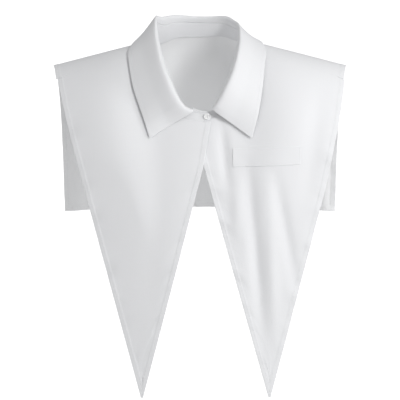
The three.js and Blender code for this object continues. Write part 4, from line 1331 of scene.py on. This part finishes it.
# %% Button
# its height, how far the holes lie from the middle each way, and their radius
BUTTON_HEIGHT, BUTTON_BORE, BUTTON_BORE_RADIUS = 1.6, 1.1, 0.5
# radius and height of the turned profile, in mm, from the middle of the front round to the back
BUTTON_PROFILE = [
    (0, 1.05), (1.2, 1.05), (1.9, 1.1), (2.3, 1.3), (2.6, 1.52), (2.85, 1.6), (3.1, 1.57), (3.33, 1.42),
    (3.47, 1.15), (3.5, 0.85), (3.44, 0.55), (3.2, 0.28), (2.7, 0.1), (1.9, 0.02), (0, 0),
]
BUTTON_SIDES, DRILL_SIDES, DRILL_FROM, DRILL_TO = 64, 20, 2, -0.5
SHARP_FROM = 40


def button_frame():
    """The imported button's middle and its three directions: side, up and out."""
    node = bpy.data.objects["collar_button"]
    places = np.array([vertex.co[:] for vertex in node.data.vertices]) / MM
    middle = (places.min(axis=0) + places.max(axis=0)) / 2
    out = np.linalg.svd(places - places.mean(axis=0), full_matrices=False)[2][2]
    out = out if out[1] < 0 else -out
    side = np.cross([0, 0, 1], out)
    side = side / np.linalg.norm(side)
    return middle - out * BUTTON_HEIGHT / 2, np.array([side, np.cross(out, side), out])


def on_button(local):
    """Places given in the button's own directions, in mm."""
    return BUTTON_ORIGIN + np.asarray(local, float) @ BUTTON_AXES


def turned(profile, sides):
    """A closed mesh turned from a profile that starts and ends on the axis."""
    angles = np.arange(sides) * 2 * math.pi / sides
    points = [(0, 0, profile[0][1])]
    for radius, height in profile[1:-1]:
        points += [(radius * math.cos(a), radius * math.sin(a), height) for a in angles]
    points.append((0, 0, profile[-1][1]))
    last, end = len(profile) - 3, len(points) - 1
    ring = lambda n, k: 1 + n * sides + k % sides
    faces = [(0, ring(0, k), ring(0, k + 1)) for k in range(sides)]
    for n in range(last):
        faces += [(ring(n, k), ring(n + 1, k), ring(n + 1, k + 1), ring(n, k + 1)) for k in range(sides)]
    faces += [(ring(last, k), end, ring(last, k + 1)) for k in range(sides)]
    return points, faces


def mesh_object(name, points, faces, paint):
    """An object from points in mm and faces."""
    mesh = bpy.data.meshes.new(name)
    mesh.from_pydata((np.asarray(points) * MM).tolist(), [], faces)
    mesh.materials.append(paint)
    thing = bpy.data.objects.new(name, mesh)
    bpy.context.scene.collection.objects.link(thing)
    return thing


def button_paint():
    """Pearly resin: soft clouds of warm and cool white under a clear gloss."""
    paint = Paint("pearl_resin")
    spot = paint.node("ShaderNodeTexCoord", {}, {}, "Object")
    cloud = noise(paint, spot, 420.0, 3.0, distortion=1.2)
    colours = {0: cloud, 6: (0.9, 0.89, 0.86, 1), 7: (0.8, 0.82, 0.84, 1)}
    paint.set(
        Base_Color=paint.node("ShaderNodeMix", {"data_type": "RGBA"}, colours, 2),
        Roughness=cloud * 0.15 + 0.2,
        Coat_Weight=0.3,
        Normal=paint.node("ShaderNodeBump", {}, {"Strength": 0.15, "Distance": 0.00004, "Height": cloud}),
    )
    return paint.material


def bored_button():
    """The turned button with its four holes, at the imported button's place."""
    points, faces = turned(BUTTON_PROFILE, BUTTON_SIDES)
    button = mesh_object("button", points, faces, button_paint())
    drills, drill_faces = [], []
    profile = [(radius, DRILL_FROM) for radius in (0, BUTTON_BORE_RADIUS)]
    profile += [(radius, DRILL_TO) for radius in (BUTTON_BORE_RADIUS, 0)]
    for across, up in ((1, 1), (-1, 1), (-1, -1), (1, -1)):
        bore, sides = turned(profile, DRILL_SIDES)
        drill_faces += [tuple(len(drills) + n for n in face) for face in sides]
        drills += (np.array(bore) + (across * BUTTON_BORE, up * BUTTON_BORE, 0)).tolist()
    drill = mesh_object("button_drill", drills, drill_faces, button.data.materials[0])
    cut = button.modifiers.new("bore", "BOOLEAN")
    cut.operation, cut.solver, cut.object = "DIFFERENCE", "EXACT", drill
    mesh = bpy.data.meshes.new_from_object(button.evaluated_get(bpy.context.evaluated_depsgraph_get()))
    button.modifiers.remove(cut)
    bpy.data.objects.remove(drill)
    flat = np.array([vertex.co[:] for vertex in mesh.vertices]) / MM
    mesh.vertices.foreach_set("co", (on_button(flat) * MM).astype(np.float32).ravel())
    button.data = mesh
    mesh.shade_smooth()
    mesh.set_sharp_from_angle(angle=math.radians(SHARP_FROM))
    mesh.update()
    return button


BUTTON_ORIGIN, BUTTON_AXES = button_frame()
button_piece = bored_button()
print("button at", BUTTON_ORIGIN.round(1), "mm,", len(button_piece.data.polygons), "faces")

# %% Thread of the button, and the buttonhole
BAR_STRANDS, BAR_SPACING, BAR_HEIGHT, BAR_HALF_PATH = 3, 0.22, 1.06, 0.1
BUTTONHOLE_X, BUTTONHOLE_LENGTH, BUTTONHOLE_HALF_WIDTH, BUTTONHOLE_POINTS = 8, 9.6, 0.75, 30
STALK_RADIUS, STALK_SIDES = 0.75, 20
# share of the stalk's radius and height in mm, from inside the button to inside the band
STALK_PROFILE = [(0, 0.05), (1, 0.05), (0.85, -0.6), (1, -1.2), (1.2, -1.75), (0, -1.75)]


def bar_paths():
    """Two bars of thread across the dish, each of a few strands from hole to hole."""
    paths = []
    for across in (-BUTTON_BORE, BUTTON_BORE):
        for strand in range(BAR_STRANDS):
            x = across + (strand - (BAR_STRANDS - 1) / 2) * BAR_SPACING
            ends = on_button([(x, -BAR_HALF_PATH, BAR_HEIGHT), (x, BAR_HALF_PATH, BAR_HEIGHT)])
            paths.append((ends, np.array([BUTTON_AXES[2]] * 2)))
    return paths


def buttonhole_paths():
    """Two close rows of short stitches, one above and one below the slit, on the face of the tab."""
    station = NECK_LOOP + station_where(-2, 2, lambda p: p[0] < BUTTONHOLE_X)
    middle_row = grid_of(band_shape)[:, band_shape[1] // 2 + 1]
    along = lengths(band.points[middle_row][None], 1)[0]
    start = along[np.abs(band_stations - station).argmin()]
    places = start + np.linspace(-BUTTONHOLE_LENGTH / 2, BUTTONHOLE_LENGTH / 2, BUTTONHOLE_POINTS)
    line, facing = (
        np.stack([np.interp(places, along, values[middle_row, axis]) for axis in range(3)], axis=1)
        for values in (band.points, band.normals)
    )
    face = line + facing * BAND_CLOTH / 2
    return [(face + [0, 0, offset], facing) for offset in (-BUTTONHOLE_HALF_WIDTH, BUTTONHOLE_HALF_WIDTH)]


def stalk():
    """The wrapped thread between the button and the band."""
    profile = [(share * STALK_RADIUS, height) for share, height in STALK_PROFILE]
    points, faces = turned(profile, STALK_SIDES)
    thing = mesh_object("button_stalk", on_button(points), faces, THREAD)
    thing.data.shade_smooth()
    return thing


button_bars = stitch_piece("button_thread", bar_paths(), 8, BUTTON_BAR)
buttonhole = stitch_piece("buttonhole_stitches", buttonhole_paths(), 9, BUTTONHOLE_STITCH, across=True)
button_stalk = stalk()

# %% [markdown]
# ## What each piece stands for
#
# The fine pieces take the place of the imported solids, which are hidden. Each one rides on the collar's
# only body, together with its stitches and the small pieces sewn on it. A table also lists each cloth,
# how it is held and what it rests on.

# %% Which model parts the pieces stand for, and what each cloth rests on
on_band = [buttonhole, button_bars, button_stalk]
under_band = [back_piece, front_right, front_left]
CLOTH_PIECES = [
    # piece, model part, cloth, how it is held, what it rests on or hangs from, other pieces on it
    (front_right, "front_panel_right", right_cloth, "draped", [front_left, back_piece], []),
    (front_left, "front_panel_left", left_cloth, "draped", [back_piece], []),
    (back_piece, "back_panel", back, "draped", [front_right, front_left], []),
    (band_piece, "collar_band", band, "folded", under_band, on_band),
    (leaf_piece, "collar_leaf", leaf, "folded", [band_piece], []),
    (welt_piece, "pocket_welt", welt, "laid", [front_left], []),
]
for thing, node, cloth, held, rests_on, others in CLOTH_PIECES:
    carried = [SEWN[node], *others]
    for piece in (thing, *carried):
        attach(piece, "root")
    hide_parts(node)
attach(button_piece, "root")
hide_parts("collar_button")
